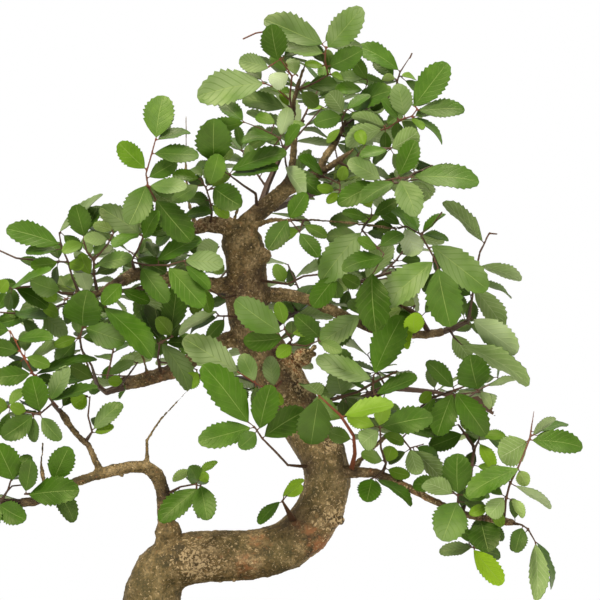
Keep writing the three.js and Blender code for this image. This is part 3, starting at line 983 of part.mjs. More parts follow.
function makePot() {
  let pot = oval([
    [0, potBottom],
    [potRadius - 22, potBottom],
    [potRadius - 16, potBottom + 3],
    [potRadius - 6, potBottom + 24],
    [potRadius - 4, RIM_Z - 8],
    [potRadius - 1, RIM_Z - 6],
    [potRadius, RIM_Z - 1.5],
    [potRadius - 1.5, RIM_Z],
    [innerRadius + 1, RIM_Z],
    [innerRadius, RIM_Z - 2],
    [innerRadius - 6, floorTop + 10],
    [innerRadius - 14, floorTop],
    [0, floorTop],
  ]);
  const feet = [];
  [-1, 1].forEach((left) => {
    [-1, 1].forEach((front) => {
      const foot = new THREE.CylinderGeometry(13, 11, FOOT_HEIGHT + 3, 10);
      foot.rotateX(Math.PI / 2);
      foot.scale(1.25, 0.9, 1);
      foot.translate(
        POT_X + left * FOOT_SPREAD * potRadius,
        POT_DEPTH + front * 0.46 * (POT_WIDTH / 2),
        potBottom - FOOT_HEIGHT / 2 + 1.5,
      );
      feet.push(solidFromGeometry(foot));
    });
  });
  pot = Manifold.union([pot, ...feet]);
  [-1, 1].forEach((side) => {
    const drain = new THREE.CylinderGeometry(DRAIN_RADIUS, DRAIN_RADIUS, POT_FLOOR * 3, 12);
    drain.rotateX(Math.PI / 2);
    drain.translate(POT_X + side * DRAIN_X * 0.5, POT_DEPTH, potBottom + POT_FLOOR / 2);
    pot = pot.subtract(solidFromGeometry(drain));
  });
  return pot;
}

function makeSoil(woodHole) {
  const fill = oval([
    [0, floorTop + GAP],
    [innerRadius - 14 - GAP, floorTop + GAP],
    [innerRadius - 6.3 - GAP, floorTop + 10 + GAP],
    [innerRadius - 1.8 - GAP, SOIL_EDGE_Z],
    [innerRadius * 0.7, SOIL_EDGE_Z + SOIL_MOUND * 0.45],
    [innerRadius * 0.35, SOIL_EDGE_Z + SOIL_MOUND * 0.85],
    [0, SOIL_EDGE_Z + SOIL_MOUND],
  ]);
  return fill.subtract(woodHole);
}

function largestBody(solid) {
  const bodies = solid.decompose();
  return bodies.reduce((best, body) => (body.volume() > best.volume() ? body : best));
}

function addNode(name, solid, colour) {
  const body = largestBody(solid.simplify(SMALLEST_STEP));
  const { vertProperties, triVerts, numProp } = body.getMesh();
  const positions = new Float32Array((vertProperties.length / numProp) * 3);
  for (let i = 0; i < positions.length / 3; i++) {
    positions.set(vertProperties.subarray(i * numProp, i * numProp + 3), i * 3);
  }
  const geometry = new THREE.BufferGeometry();
  geometry.setAttribute("position", new THREE.BufferAttribute(positions, 3));
  geometry.setIndex(new THREE.BufferAttribute(new Uint32Array(triVerts), 1));
  geometry.computeVertexNormals();
  const mesh = new THREE.Mesh(geometry, new THREE.MeshStandardMaterial({ color: colour }));
  mesh.name = name;
  scene.add(mesh);
}

const wood = makeWood(0);
const woodHole = makeWood(GAP);
keep(wood, "wood");
const made = shoots.map(([name, stems, leaves]) => makeShoot(name, stems.map(drawnOut), leaves));
rearBoughs.forEach(([name, path]) => made.push(makeBough(name, path)));

addNode("trunk", wood, "#6b4a2e");
addNode("pot", makePot(), "#4a3328");
addNode("soil", makeSoil(woodHole), "#3a2c20");
made.forEach(({ name, solid }) => addNode(name, solid.subtract(woodHole), "#4f7a2a"));

// The part's frame: the middle of the pot's feet on the ground
const box = new THREE.Box3().setFromObject(scene);
const centre = box.getCenter(new THREE.Vector3());
scene.position.set(-centre.x, -centre.y, -box.min.z);

export default scene;
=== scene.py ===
import bpy
import bmesh
import math
import random
from mathutils import Matrix, Vector, noise
from mathutils.kdtree import KDTree


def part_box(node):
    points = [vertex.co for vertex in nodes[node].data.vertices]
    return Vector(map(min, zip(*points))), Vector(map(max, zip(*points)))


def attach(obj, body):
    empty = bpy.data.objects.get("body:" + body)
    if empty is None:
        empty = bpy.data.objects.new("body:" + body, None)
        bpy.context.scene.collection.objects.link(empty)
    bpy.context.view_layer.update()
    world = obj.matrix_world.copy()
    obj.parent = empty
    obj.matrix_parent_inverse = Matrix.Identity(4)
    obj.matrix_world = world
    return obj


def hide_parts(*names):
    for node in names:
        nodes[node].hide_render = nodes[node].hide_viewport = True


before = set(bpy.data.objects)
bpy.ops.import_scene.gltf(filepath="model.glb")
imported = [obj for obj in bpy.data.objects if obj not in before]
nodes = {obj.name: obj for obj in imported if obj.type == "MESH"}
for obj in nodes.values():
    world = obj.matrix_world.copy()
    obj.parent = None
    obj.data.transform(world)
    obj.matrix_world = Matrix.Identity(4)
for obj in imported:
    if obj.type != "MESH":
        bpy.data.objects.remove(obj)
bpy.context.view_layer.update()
mm = 0.001
print("frame loaded:", len(nodes), "nodes")

# Places in the photo's plane are [x, z, depth] in millimetres: x right of its middle, z up from
# its lower edge, depth away from the viewer. The pot stands below that edge, left of the middle.
view = {"distance": 1500, "height": 150, "window": 300, "sensor": 36, "potAside": 48, "potBelow": 33}
potLow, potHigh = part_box("pot")
potCentre = (potLow + potHigh) / 2
shift = Vector((potCentre.x + view["potAside"] * mm, potCentre.y, potHigh.z + view["potBelow"] * mm))


def place(x, z, depth):
    spread = 1 + depth / view["distance"]
    at = Vector((x * spread, depth, view["height"] + (z - view["height"]) * spread))
    return at * mm + shift


def seenAt(point):
    p = (point - shift) / mm
    spread = 1 + p.y / view["distance"]
    return p.x / spread, view["height"] + (p.z - view["height"]) / spread


def clamp(value, low, high):
    return min(max(value, low), high)


# 1 on a spot of the view, fading to about a third at its reach
def nearness(x, z, spotX, spotZ, reach):
    return math.exp(-((x - spotX) ** 2 + (z - spotZ) ** 2) / (reach * reach))


def linear(code):
    parts = [int(code[i:i + 2], 16) / 255 for i in (1, 3, 5)]
    return [c / 12.92 if c <= 0.04045 else ((c + 0.055) / 1.055) ** 2.4 for c in parts] + [1]


def perMetre(sizeInMm):
    return 1000 / sizeInMm


# An input is a number, a colour or another node's output. The colour of a Mix is its third output.
def addNode(tree, kind, inputs=None, stops=None, output=0, **settings):
    node = tree.nodes.new("ShaderNode" + kind)
    for key, value in settings.items():
        setattr(node, key, value)
    for key, value in (inputs or {}).items():
        slot = node.inputs[key]
        if isinstance(value, bpy.types.NodeSocket):
            tree.links.new(value, slot)
        else:
            slot.default_value = linear(value) if isinstance(value, str) else value
    for i, (at, colour) in enumerate(stops or []):
        ramp = node.color_ramp.elements
        point = ramp[i] if i < 2 else ramp.new(at)
        point.position = at
        point.color = linear(colour)
    return node.outputs[2 if kind == "Mix" else output]


def newMaterial(name, look):
    material = bpy.data.materials.new(name)
    material.use_nodes = True
    tree = material.node_tree
    surface = tree.nodes["Principled BSDF"]
    surface.inputs["Roughness"].default_value = look["roughness"]
    surface.inputs["IOR"].default_value = look["ior"]
    return material, tree, surface


# Leaf: a leathery blade under a thin waxy skin, so a broad soft gloss lies over a deep green, and
# the midrib stands out as a fine pale line. Beneath it is matt, grey-green and clearly veined.
# The pale patches of the sheen colour, on both sides, are a painted sheen: colour that stands in for the
# lamps' soft reflection on the waxy skin.
leafLook = {
    "veinPairs": 7, "veinSlant": 0.62, "veinWidth": 0.3, "ribFrom": 0.0033, "ribTo": 0.0165,
    "mottleSize": 7, "mottle": 0.5,  # patches of deeper green, 7 mm apart
    "sheenPatchSize": 16, "sheenPatchFrom": 0.3, "sheenPatchTo": 0.7, "sheenPatchLeast": 0.25, "sheenOffVeins": 0.5,
    "sheen": "#F2F6B4", "grooveDepth": 0.3,
    "upper": {
        "tones": [(0, "#1B3004"), (0.5, "#3A5F0C"), (1, "#6C8E2C")], "young": "#8FB522",
        "paintedSheen": "#8FA070", "rib": "#8C9E58", "veins": 0.07, "ribs": 0.5,
        "roughness": 0.42, "ior": 1.45, "shine": 0.35, "relief": 0.25,
    },
    "under": {
        "tones": [(0, "#4A5E2A"), (0.5, "#7F9858"), (1, "#A9BB82")], "young": "#A4BC50",
        "paintedSheen": "#B0BE9A", "rib": "#BECB9C", "veins": 0.25, "ribs": 0.5,
        "roughness": 0.6, "ior": 1.45, "shine": 0.35, "relief": -0.4,
    },
}


def leafMaterial(name, side):
    look = leafLook[side]
    material, tree, surface = newMaterial(name, look)
    surface.inputs["Specular IOR Level"].default_value = look["shine"]
    surface.inputs["Specular Tint"].default_value = linear(leafLook["sheen"])
    blade = addNode(tree, "SeparateXYZ", {0: addNode(tree, "UVMap", uv_map="blade")}).node.outputs
    offset = addNode(tree, "Math", {0: blade[0], 1: 0.5}, operation="SUBTRACT")
    across = addNode(tree, "Math", {0: offset}, operation="ABSOLUTE")
    back = addNode(tree, "Math", {0: across, 1: -leafLook["veinSlant"], 2: blade[1]},
                   operation="MULTIPLY_ADD")
    count = addNode(tree, "Math", {0: back, 1: 2 * leafLook["veinPairs"]}, operation="MULTIPLY")
    wave = addNode(tree, "Math", {0: count, 1: 1}, operation="PINGPONG")
    vein = addNode(tree, "MapRange", {0: wave, 1: 0, 2: leafLook["veinWidth"], 3: 1, 4: 0},
                   interpolation_type="SMOOTHSTEP")
    rib = addNode(tree, "MapRange", {0: across, 1: leafLook["ribFrom"], 2: leafLook["ribTo"],
                                     3: 1, 4: 0}, interpolation_type="SMOOTHSTEP")
    # Each leaf's own tone (lower for the inner leaves, as painted shade), youth and painted sheen
    stored = addNode(tree, "Attribute", attribute_name="leafTint")
    shade, youth, paintedSheen = addNode(tree, "SeparateColor", {0: stored}).node.outputs
    where = addNode(tree, "TexCoord", output="Object")
    mottle = addNode(tree, "TexNoise", {"Vector": where, "Scale": perMetre(leafLook["mottleSize"]),
                                        "Detail": 3})
    level = addNode(tree, "Math", {0: mottle, 1: leafLook["mottle"], 2: shade}, operation="MULTIPLY_ADD")
    level = addNode(tree, "Math", {0: level, 1: leafLook["mottle"] / 2}, operation="SUBTRACT")
    colour = addNode(tree, "ValToRGB", {0: level}, stops=look["tones"])
    # Painted sheen: pale patches, weaker over the veins and scaled by each leaf's amount, mixed into the
    # green in place of a reflection
    sheenPatches = addNode(tree, "TexNoise", {"Vector": where, "Scale": perMetre(leafLook["sheenPatchSize"]),
                                      "Detail": 1})
    sheenPatches = addNode(tree, "MapRange", {0: sheenPatches, 1: leafLook["sheenPatchFrom"], 2: leafLook["sheenPatchTo"],
                                      3: leafLook["sheenPatchLeast"]}, interpolation_type="SMOOTHSTEP")
    offVein = addNode(tree, "Math", {0: vein, 1: -leafLook["sheenOffVeins"], 2: 1},
                      operation="MULTIPLY_ADD")
    sheenPatches = addNode(tree, "Math", {0: sheenPatches, 1: offVein}, operation="MULTIPLY")
    sheenPatches = addNode(tree, "Math", {0: sheenPatches, 1: paintedSheen}, operation="MULTIPLY")
    colour = addNode(tree, "Mix", {0: sheenPatches, 6: colour, 7: look["paintedSheen"]}, data_type="RGBA")
    colour = addNode(tree, "Mix", {0: youth, 6: colour, 7: look["young"]}, data_type="RGBA")
    for line, strength in ((vein, look["veins"]), (rib, look["ribs"])):
        share = addNode(tree, "Math", {0: line, 1: strength}, operation="MULTIPLY")
        colour = addNode(tree, "Mix", {0: share, 6: colour, 7: look["rib"]}, data_type="RGBA")
    tree.links.new(colour, surface.inputs["Base Color"])
    groove = addNode(tree, "Math", {0: vein, 1: rib}, operation="MAXIMUM")
    relief = addNode(tree, "Bump", {"Height": groove, "Strength": abs(look["relief"]),
                                    "Distance": leafLook["grooveDepth"] * mm}, invert=look["relief"] > 0)
    tree.links.new(relief, surface.inputs["Normal"])
    return material


leafUpper = leafMaterial("waxy leaf, upper side", "upper")
leafUnder = leafMaterial("matt leaf, underside", "under")


# Twig: thin young bark, near black where it is old and dry, red-brown where it grows, green at
# the tips of the youngest
twigLook = {
    "tones": [(0, "#2E2118"), (0.4, "#553722"), (0.75, "#7C3A22"), (1, "#76773A")],
    "roughness": 0.55, "ior": 1.45, "spotSize": 1.2, "spots": 0.4, "relief": 0.5, "depth": 0.3,
}


def twigMaterial():
    material, tree, surface = newMaterial("young bark", twigLook)
    where = addNode(tree, "TexCoord", output="Object")
    youth = addNode(tree, "Attribute", attribute_name="youth", output="Fac")
    spots = addNode(tree, "TexNoise", {"Vector": where, "Scale": perMetre(twigLook["spotSize"]),
                                       "Detail": 2})
    level = addNode(tree, "Math", {0: spots, 1: twigLook["spots"], 2: youth}, operation="MULTIPLY_ADD")
    level = addNode(tree, "Math", {0: level, 1: twigLook["spots"] / 2}, operation="SUBTRACT")
    colour = addNode(tree, "ValToRGB", {0: level}, stops=twigLook["tones"])
    tree.links.new(colour, surface.inputs["Base Color"])
    relief = addNode(tree, "Bump", {"Height": spots, "Strength": twigLook["relief"],
                                    "Distance": twigLook["depth"] * mm})
    tree.links.new(relief, surface.inputs["Normal"])
    return material


youngBark = twigMaterial()


# Old bark: thin cork, olive-brown and matt, freckled with cream breathing pores. It is greener
# where algae grow on it and orange where it has peeled. Pores and grain are drawn a little
# coarser than they are, so that they show.
barkLook = {
    "roughness": 0.75, "ior": 1.45,
    "patchSize": 7, "tones": [(0.36, "#4A3820"), (0.5, "#80663E"), (0.66, "#B79B70")],
    "grainSize": 1.3, "grains": [(0.34, "#545454"), (0.62, "#FFFFFF")], "grainShare": 0.85,
    "algae": "#5E5C30", "algaeShare": 0.7,
    "flakeSize": 3, "peeled": "#A0663E", "peeling": 0.35, "peelFrom": 0.62, "peelTo": 0.86,
    "poreSize": 1.4, "pore": "#D8BC90", "poring": 0.2, "poreFrom": 0.64, "poreTo": 0.71,
    "peelShare": 0.65, "poreShare": 0.75, "young": "#3C2A1E",
    "poreRise": 0.5, "relief": 0.8, "depth": 0.7,
}


def barkMaterial():
    material, tree, surface = newMaterial("old bark", barkLook)
    where = addNode(tree, "TexCoord", output="Object")
    stored = addNode(tree, "Attribute", attribute_name="barkTone").node.outputs
    poreTone, algaeTone, peelTone = addNode(tree, "SeparateColor", {0: stored["Color"]}).node.outputs
    patches = addNode(tree, "TexNoise", {"Vector": where, "Scale": perMetre(barkLook["patchSize"]),
                                         "Detail": 6, "Roughness": 0.65})
    grain = addNode(tree, "TexNoise", {"Vector": where, "Scale": perMetre(barkLook["grainSize"]),
                                       "Detail": 3, "Roughness": 0.7})
    flakes = addNode(tree, "TexNoise", {"Vector": where, "Scale": perMetre(barkLook["flakeSize"]),
                                        "Detail": 4, "Roughness": 0.6})
    pores = addNode(tree, "TexNoise", {"Vector": where, "Scale": perMetre(barkLook["poreSize"]),
                                       "Detail": 3, "Roughness": 0.6, "Distortion": 0.6})
    colour = addNode(tree, "ValToRGB", {0: patches}, stops=barkLook["tones"])
    grains = addNode(tree, "ValToRGB", {0: grain}, stops=barkLook["grains"])
    colour = addNode(tree, "Mix", {0: barkLook["grainShare"], 6: colour, 7: grains}, data_type="RGBA",
                     blend_type="MULTIPLY")
    algae = addNode(tree, "Math", {0: algaeTone, 1: barkLook["algaeShare"]}, operation="MULTIPLY")
    loose = addNode(tree, "Math", {0: peelTone, 1: barkLook["peeling"], 2: flakes},
                    operation="MULTIPLY_ADD")
    peeled = addNode(tree, "MapRange", {0: loose, 1: barkLook["peelFrom"], 2: barkLook["peelTo"],
                                        4: barkLook["peelShare"]}, interpolation_type="SMOOTHSTEP")
    bare = addNode(tree, "Math", {0: poreTone, 1: barkLook["poring"], 2: pores},
                   operation="MULTIPLY_ADD")
    fleck = addNode(tree, "MapRange", {0: bare, 1: barkLook["poreFrom"], 2: barkLook["poreTo"]},
                    interpolation_type="SMOOTHSTEP")
    flecked = addNode(tree, "Math", {0: fleck, 1: barkLook["poreShare"]}, operation="MULTIPLY")
    covers = ((algae, "algae"), (peeled, "peeled"), (flecked, "pore"), (stored["Alpha"], "young"))
    for share, cover in covers:
        colour = addNode(tree, "Mix", {0: share, 6: colour, 7: barkLook[cover]}, data_type="RGBA")
    tree.links.new(colour, surface.inputs["Base Color"])
    height = addNode(tree, "Math", {0: fleck, 1: barkLook["poreRise"], 2: grain},
                     operation="MULTIPLY_ADD")
    relief = addNode(tree, "Bump", {"Height": height, "Strength": barkLook["relief"],
                                    "Distance": barkLook["depth"] * mm})
    tree.links.new(relief, surface.inputs["Normal"])
    return material


oldBark = barkMaterial()
print("leaf, twig and bark materials made")


def meshFrom(name, bm):
    mesh = bpy.data.meshes.new(name)
    bm.to_mesh(mesh)
    bm.free()
    return mesh


def addBody(name, data):
    body = bpy.data.objects.new(name, data)
    bpy.context.scene.collection.objects.link(body)
    return body


def addPiece(name, bm, materials):
    for face in bm.faces:
        face.smooth = True
    piece = addBody(name, meshFrom(name, bm))
    for material in materials:
        piece.data.materials.append(material)
    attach(piece, "root")
    return piece


def shadeEvenly(piece):
    piece.modifiers.new("even shading", "WEIGHTED_NORMAL").mode = "FACE_AREA"


def mergedCopy(node):
    bm = bmesh.new()
    bm.from_mesh(nodes[node].data)
    bmesh.ops.remove_doubles(bm, verts=bm.verts, dist=0.002 * mm)
    bm.verts.index_update()
    return bm


def applied(rough):
    result = bmesh.new()
    result.from_mesh(rough.evaluated_get(bpy.context.evaluated_depsgraph_get()).to_mesh())
    bpy.data.objects.remove(rough)
    return result


def cutOut(bm, cutterBm):
    rough = addBody("rough", meshFrom("rough", bm))
    cutter = addBody("cutter", meshFrom("cutter", cutterBm))
    modifier = rough.modifiers.new("cut", "BOOLEAN")
    modifier.operation = "DIFFERENCE"
    modifier.object = cutter
    result = applied(rough)
    bpy.data.objects.remove(cutter)
    return result


# Melts the overlapping parts of a mesh into one even skin
def remeshed(bm, shape):
    rough = addBody("rough", meshFrom("rough", bm))
    modifier = rough.modifiers.new("remesh", "REMESH")
    modifier.mode = "VOXEL"
    modifier.voxel_size = shape["voxel"] * mm
    if shape["share"] < 1:
        rough.modifiers.new("thin out", "DECIMATE").ratio = shape["share"]
    result = applied(rough)
    for _ in range(shape["smoothing"]):
        bmesh.ops.smooth_vert(result, verts=result.verts, factor=0.5,
                              use_axis_x=True, use_axis_y=True, use_axis_z=True)
    result.normal_update()
    return result


# A round twig through points of space, as short tapered lengths that melt together later
def addTwig(bm, points, radii):
    for start, end, thick, thin in zip(points, points[1:], radii, radii[1:]):
        along = end - start
        turn = along.to_track_quat("Z", "Y").to_matrix().to_4x4()
        bmesh.ops.create_cone(bm, cap_ends=True, segments=6, radius1=thick * mm, radius2=thin * mm,
                              depth=along.length + thin * mm,
                              matrix=Matrix.Translation((start + end) / 2) @ turn)


# The master leaf: bare wedge at the stalk, widest past the middle, blunt tip and small teeth
leafShape = {
    "columns": 4, "rows": 10, "bareRows": 3, "tooth": 1.05, "notch": 0.91, "lean": 0.72,
    "wedge": 0.68, "bluntness": 0.24, "widestAt": 1.14, "narrowest": 0.05, "thickness": 0.3,
}


def outlineAt(along):
    swell = max(math.sin(math.pi * min(along, 1) ** leafShape["widestAt"]), 0)
    return swell ** (leafShape["wedge"] - leafShape["bluntness"] * along)


def makeMasterLeaf():
    rows = leafShape["rows"]
    slack = 1e-4
    bm = bmesh.new()
    bm.loops.layers.uv.new("blade")
    bmesh.ops.create_grid(bm, x_segments=leafShape["columns"], y_segments=rows, size=0.5, calc_uvs=True)
    firstTooth = -0.5 + leafShape["bareRows"] / rows
    rim = [e for e in bm.edges if all(abs(abs(v.co.x) - 0.5) < slack for v in e.verts)
           and min(v.co.y for v in e.verts) > firstTooth - slack]
    made = bmesh.ops.subdivide_edges(bm, edges=rim, cuts=1)
    teeth = {v for v in made["geom_inner"] if isinstance(v, bmesh.types.BMVert)}
    for v in bm.verts:
        along = v.co.y + 0.5
        across = v.co.x * 2
        if v in teeth:
            along += (leafShape["lean"] - 0.5) / rows
        half = outlineAt(along)
        if abs(across) > 1 - slack and v.co.y > firstTooth + slack:
            half *= leafShape["tooth"] if v in teeth else leafShape["notch"]
        v.co = Vector((across * max(half, leafShape["narrowest"]), along, 0))
    return meshFrom("master leaf", bm)


masterLeaf = makeMasterLeaf()


# A leaf of the solids is two fans of faces, one over the other. The lower fan also holds the neck,
# which joins the stalk to the two nearest corners of the rim. Both fans go, and the measures stay.
leafSolid = {
    "rims": (7, 11), "fewest": 6, "most": 14,  # corners of a whole leaf's rim, and of a cut one's
    "thinnest": 0.85, "thickest": 1.35, "feetApart": 1.4, "smallest": 5, "lostCorners": 3,
    "shortest": 5, "longest": 40, "slimmest": 0.35,
    "wide": 0.8, "crownLift": 0.2, "archGuard": 0.1, "mostArch": 0.5, "leastFold": -0.2, "mostFold": 0.6,
    "looseStalk": 2, "stalkEnd": 0.8, "holeSides": 8,
}


def neighbours(vertex):
    return {e.other_vert(vertex) for e in vertex.link_edges}


def inOrder(vertices):
    return sorted(vertices, key=lambda v: v.index)


def findWholeLeaf(above):
    rim = neighbours(above)
    if len(rim) not in leafSolid["rims"]:
        return None
    for below in neighbours(inOrder(rim)[0]) - rim - {above}:
        around = neighbours(below)
        if rim <= around and len(around) == len(rim) + 1:
            neck = (around - rim).pop()
            feet = rim & neighbours(neck)
            if len(feet) == 2:
                return above, below, rim, feet, neck
    return None


# The few leaves that were cut where they meet a twig, whose fans are no longer alike
def findCutLeaf(above):
    rim = neighbours(above)
    area = sum(f.calc_area() for f in above.link_faces) / mm ** 2
    if not leafSolid["fewest"] <= len(rim) <= leafSolid["most"] or area < leafSolid["smallest"]:
        return None
    corners = inOrder(rim)
    pairs = [((a.co - b.co).length, i, j) for i, a in enumerate(corners) for j, b in enumerate(corners)
             if i < j]
    gap, i, j = min(pairs)
    feet = {corners[i], corners[j]}
    if gap > leafSolid["feetApart"] * mm:
        return None
    for below in inOrder(set().union(*map(neighbours, rim)) - rim - {above}):
        apart = (above.co - below.co).length / mm
        around = neighbours(below)
        lost = len(rim - around)
        if leafSolid["thinnest"] < apart < leafSolid["thickest"] and lost <= leafSolid["lostCorners"]:
            necks = [v for v in around - rim - {above} if feet & neighbours(v)]
            neck = min(necks, key=lambda v: (v.co - above.co).length, default=below)
            return above, below, rim, feet, neck
    return None


def measureLeaf(above, below, rim, feet, neck):
    rim = inOrder(rim)
    base = sum((v.co for v in feet), Vector()) / 2
    tip = max(rim, key=lambda v: (v.co - base).length)
    length = (tip.co - base).length
    along = (tip.co - base) / length
    up = above.co - below.co
    up = (up - along * up.dot(along)).normalized()
    side = along.cross(up)
    offsets = {v: (v.co - base).dot(side) for v in rim}
    reach = max(map(abs, offsets.values()))
    width = max(offsets.values()) - min(offsets.values())
    share = (above.co - base).dot(along) / length
    bulge = (above.co - base).dot(up) - leafSolid["crownLift"] * mm
    arch = bulge / (length * max(share * (1 - share), leafSolid["archGuard"]))
    widest = [v for v in rim if abs(offsets[v]) > leafSolid["wide"] * reach]
    lift = sum((v.co - base).dot(up) for v in widest) / len(widest)
    shareWide = sum((v.co - base).dot(along) for v in widest) / len(widest) / length
    fold = (lift - arch * length * shareWide * (1 - shareWide)) / (width / 2)
    stalk = inOrder(neighbours(neck) - set(rim) - neighbours(below) - {above, below})
    if stalk:
        root = sum((v.co for v in stalk), Vector()) / len(stalk)
    else:
        root = base - along * leafSolid["looseStalk"] * mm
    return {"base": base.copy(), "root": root, "along": along, "up": up, "side": side, "length": length,
            "width": width, "arch": clamp(arch, -leafSolid["mostArch"], leafSolid["mostArch"]),
            "fold": clamp(fold, leafSolid["leastFold"], leafSolid["mostFold"]), "inner": False}


def readShoot(node):
    bm = mergedCopy(node)
    leaves = []
    blades = set()
    for find in (findWholeLeaf, findCutLeaf):
        for v in bm.verts:
            found = find(v) if blades.isdisjoint(v.link_faces) else None
            if not found or not blades.isdisjoint(found[1].link_faces):
                continue
            leaf = measureLeaf(*found)
            slim = leaf["width"] < leafSolid["slimmest"] * leaf["length"]
            if leafSolid["shortest"] * mm < leaf["length"] < leafSolid["longest"] * mm and not slim:
                leaves.append(leaf)
                blades |= set(v.link_faces) | set(found[1].link_faces)
    leaves.sort(key=lambda leaf: tuple(round(c, 5) for c in leaf["base"]))
    bmesh.ops.delete(bm, geom=[f for f in bm.faces if f in blades], context="FACES")
    bmesh.ops.holes_fill(bm, edges=[e for e in bm.edges if e.is_boundary], sides=leafSolid["holeSides"])
    return leaves, bm


shootNames = sorted(n for n in nodes if n.startswith(("shoot_", "bough_")))
shoots = {}
for name in shootNames:
    leaves, stems = readShoot(name)
    stalks = [(leaf["root"], leaf["base"] + leaf["along"] * leafSolid["stalkEnd"] * mm) for leaf in leaves]
    shoots[name] = {"leaves": leaves, "stems": stems, "stalks": stalks}
readCount = sum(len(shoot["leaves"]) for shoot in shoots.values())
print("shoots read:", len(shoots), "with", readCount, "leaves")

# The rest of the leaves grow from the same twigs, behind and between those read above. In the
# front view they fill the crown where it is closed and leave its openings free: [x, z, radius].
innerLeaves = {
    "cell": 1.5, "room": 1.5,  # size of the cells of the view and of space
    "cellsAcross": (-110, 101), "cellsUp": 200, "reach": 20, "sides": 7,
    "acrossSteps": (-1, -0.5, 0, 0.5, 1), "woodSteps": 8,
    "shortest": 11, "longest": 24, "proportion": 0.56, "uneven": (0.9, 1.1), "stalk": (1.8, 3.5),
    "stalkEnd": 0.6, "mostArch": 0.1, "fold": (0.1, 0.35), "mayHide": 0.06,
    # In the gaps: from one of the near twigs, towards the gap and back, facing the viewer and up
    "rounds": 2, "nearTwigs": 14, "stretch": (1.4, 2), "stray": 0.35, "newShare": 0.18,
    "gapBack": (-0.1, 0.75), "gapAside": (-0.5, 0.5), "gapUp": (0.1, 0.9),
    # Behind: all around with more at the back, facing up
    "rearTries": 150, "rearKept": 22, "backTries": 40, "backKept": 5, "longer": 3,
    "around": 0.6, "back": 0.5, "climb": (-0.55, 0.5), "backAside": (-0.4, 0.4), "backFacing": (0, 0.6),
}
openings = [
    [4, 238, 6], [7, 227, 5], [4, 246, 3], [52, 262, 2.5], [-57, 219, 3], [-60, 229, 5],
    [-20, 210, 6], [-11, 214, 4], [-86, 180, 5], [-43, 159, 6], [-42, 168, 3], [-1, 172, 7],
    [7, 167, 5], [-7, 177, 4], [27, 176, 4], [35, 178, 3], [12, 196, 5], [22, 199, 4],
    [31, 197, 3], [43, 217, 3], [29, 128, 6], [6, 117, 6], [50, 124, 6], [61, 124, 5],
    [70, 126, 4], [66, 140, 3], [48, 103, 4], [79, 76, 5], [33, 71, 4], [54, 77, 3],
    [94, 75, 3], [103, 88, 5], [22, 84, 3], [-26, 88, 4], [-86, 127, 6], [-95, 121, 4],
    [-80, 118, 4], [-38, 119, 6], [-45, 127, 5], [-70, 95, 14], [-50, 92, 14], [-90, 75, 10],
    [-75, 82, 10], [-118, 84, 5], [-115, 72, 6], [-22, 60, 18], [-35, 75, 10], [90, 122, 6],
    [104, 170, 6], [66, 193, 7], [58, 188, 6], [76, 186, 5], [103, 110, 5], [49, 107, 5],
    [58, 108, 4], [77, 116, 4], [-146, 104, 5], [-142, 178, 5], [4, 156, 4], [-106, 122, 4],
    [-44, 143, 4], [60, 202, 6], [66, 224, 5], [90, 60, 3], [60, 40, 8],
]


def leafSamples(leaf, rows=7):
    for i in range(rows):
        along = (i + 0.5) / rows
        half = outlineAt(along) * leaf["width"] / 2
        for across in innerLeaves["acrossSteps"]:
            rise = leaf["fold"] * abs(across) * half
            yield (leaf["base"] + leaf["along"] * along * leaf["length"] + leaf["side"] * across * half
                   + leaf["up"] * rise)


def viewCell(point):
    x, z = seenAt(point)
    return round(x / innerLeaves["cell"]), round(z / innerLeaves["cell"])


def spaceCell(point):
    size = innerLeaves["room"] * mm
    return round(point.x / size), round(point.y / size), round(point.z / size)


covered = set()  # cells of the view that hold a leaf or wood
front = {}  # how near to the viewer the read leaves and the wood come in each
filled = set()  # cells of space


def note(point):
    cell = viewCell(point)
    covered.add(cell)
    front[cell] = min(front.get(cell, point.y), point.y)
    filled.add(spaceCell(point))


for shoot in shoots.values():
    for leaf in shoot["leaves"]:
        for point in leafSamples(leaf, 14):
            note(point)
readCells = frozenset(covered)
compass = ((1, 0), (1, 1), (0, 1), (-1, 1), (-1, 0), (-1, -1), (0, -1), (1, -1))


# A cell of the view is within the crown where read leaves lie on nearly every side of it
def isWithin(cell, steps):
    x, z = cell[0] * innerLeaves["cell"], cell[1] * innerLeaves["cell"]
    if any(math.hypot(x - ox, z - oz) < reach for ox, oz, reach in openings):
        return False
    sides = 0
    for i, k in compass:
        sides += any((cell[0] + i * n, cell[1] + k * n) in readCells for n in range(steps))
    return sides >= innerLeaves["sides"]


viewCells = [(i, k) for i in range(*innerLeaves["cellsAcross"]) for k in range(innerLeaves["cellsUp"])]
reachInCells = round(innerLeaves["reach"] / innerLeaves["cell"])
within = {cell for cell in viewCells if isWithin(cell, reachInCells)}

attachments = []
for name in shootNames:
    for v in shoots[name]["stems"].verts:
        attachments.append((name, v.co.copy()))
        filled.add(spaceCell(v.co))
wood = nodes["trunk"].data
for edge in wood.edges:
    start, end = [wood.vertices[i].co for i in edge.vertices]
    for step in range(innerLeaves["woodSteps"] + 1):
        note(start.lerp(end, step / innerLeaves["woodSteps"]))


def treeOf(points):
    tree = KDTree(len(points))
    for index, point in enumerate(points):
        tree.insert(point, index)
    tree.balance()
    return tree


twigsInView = treeOf([(*seenAt(point), 0) for _, point in attachments])
twigsInSpace = treeOf([point for _, point in attachments])
woodInSpace = treeOf([v.co for v in wood.vertices])


# An added leaf hides next to nothing that was read, stays within the crown and cuts no other leaf.
# Its first row of samples may touch others, because it starts on a twig.
def mayGrow(samples):
    cells = [viewCell(point) for point in samples]
    ahead = sum(point.y < front.get(cell, point.y) for cell, point in zip(cells, samples))
    if ahead > innerLeaves["mayHide"] * len(samples) or not within.issuperset(cells):
        return False
    for point in samples[len(innerLeaves["acrossSteps"]):]:
        cx, cy, cz = spaceCell(point)
        if any((cx, cy + step, cz) in filled for step in (-1, 0, 1)):
            return False
    return True


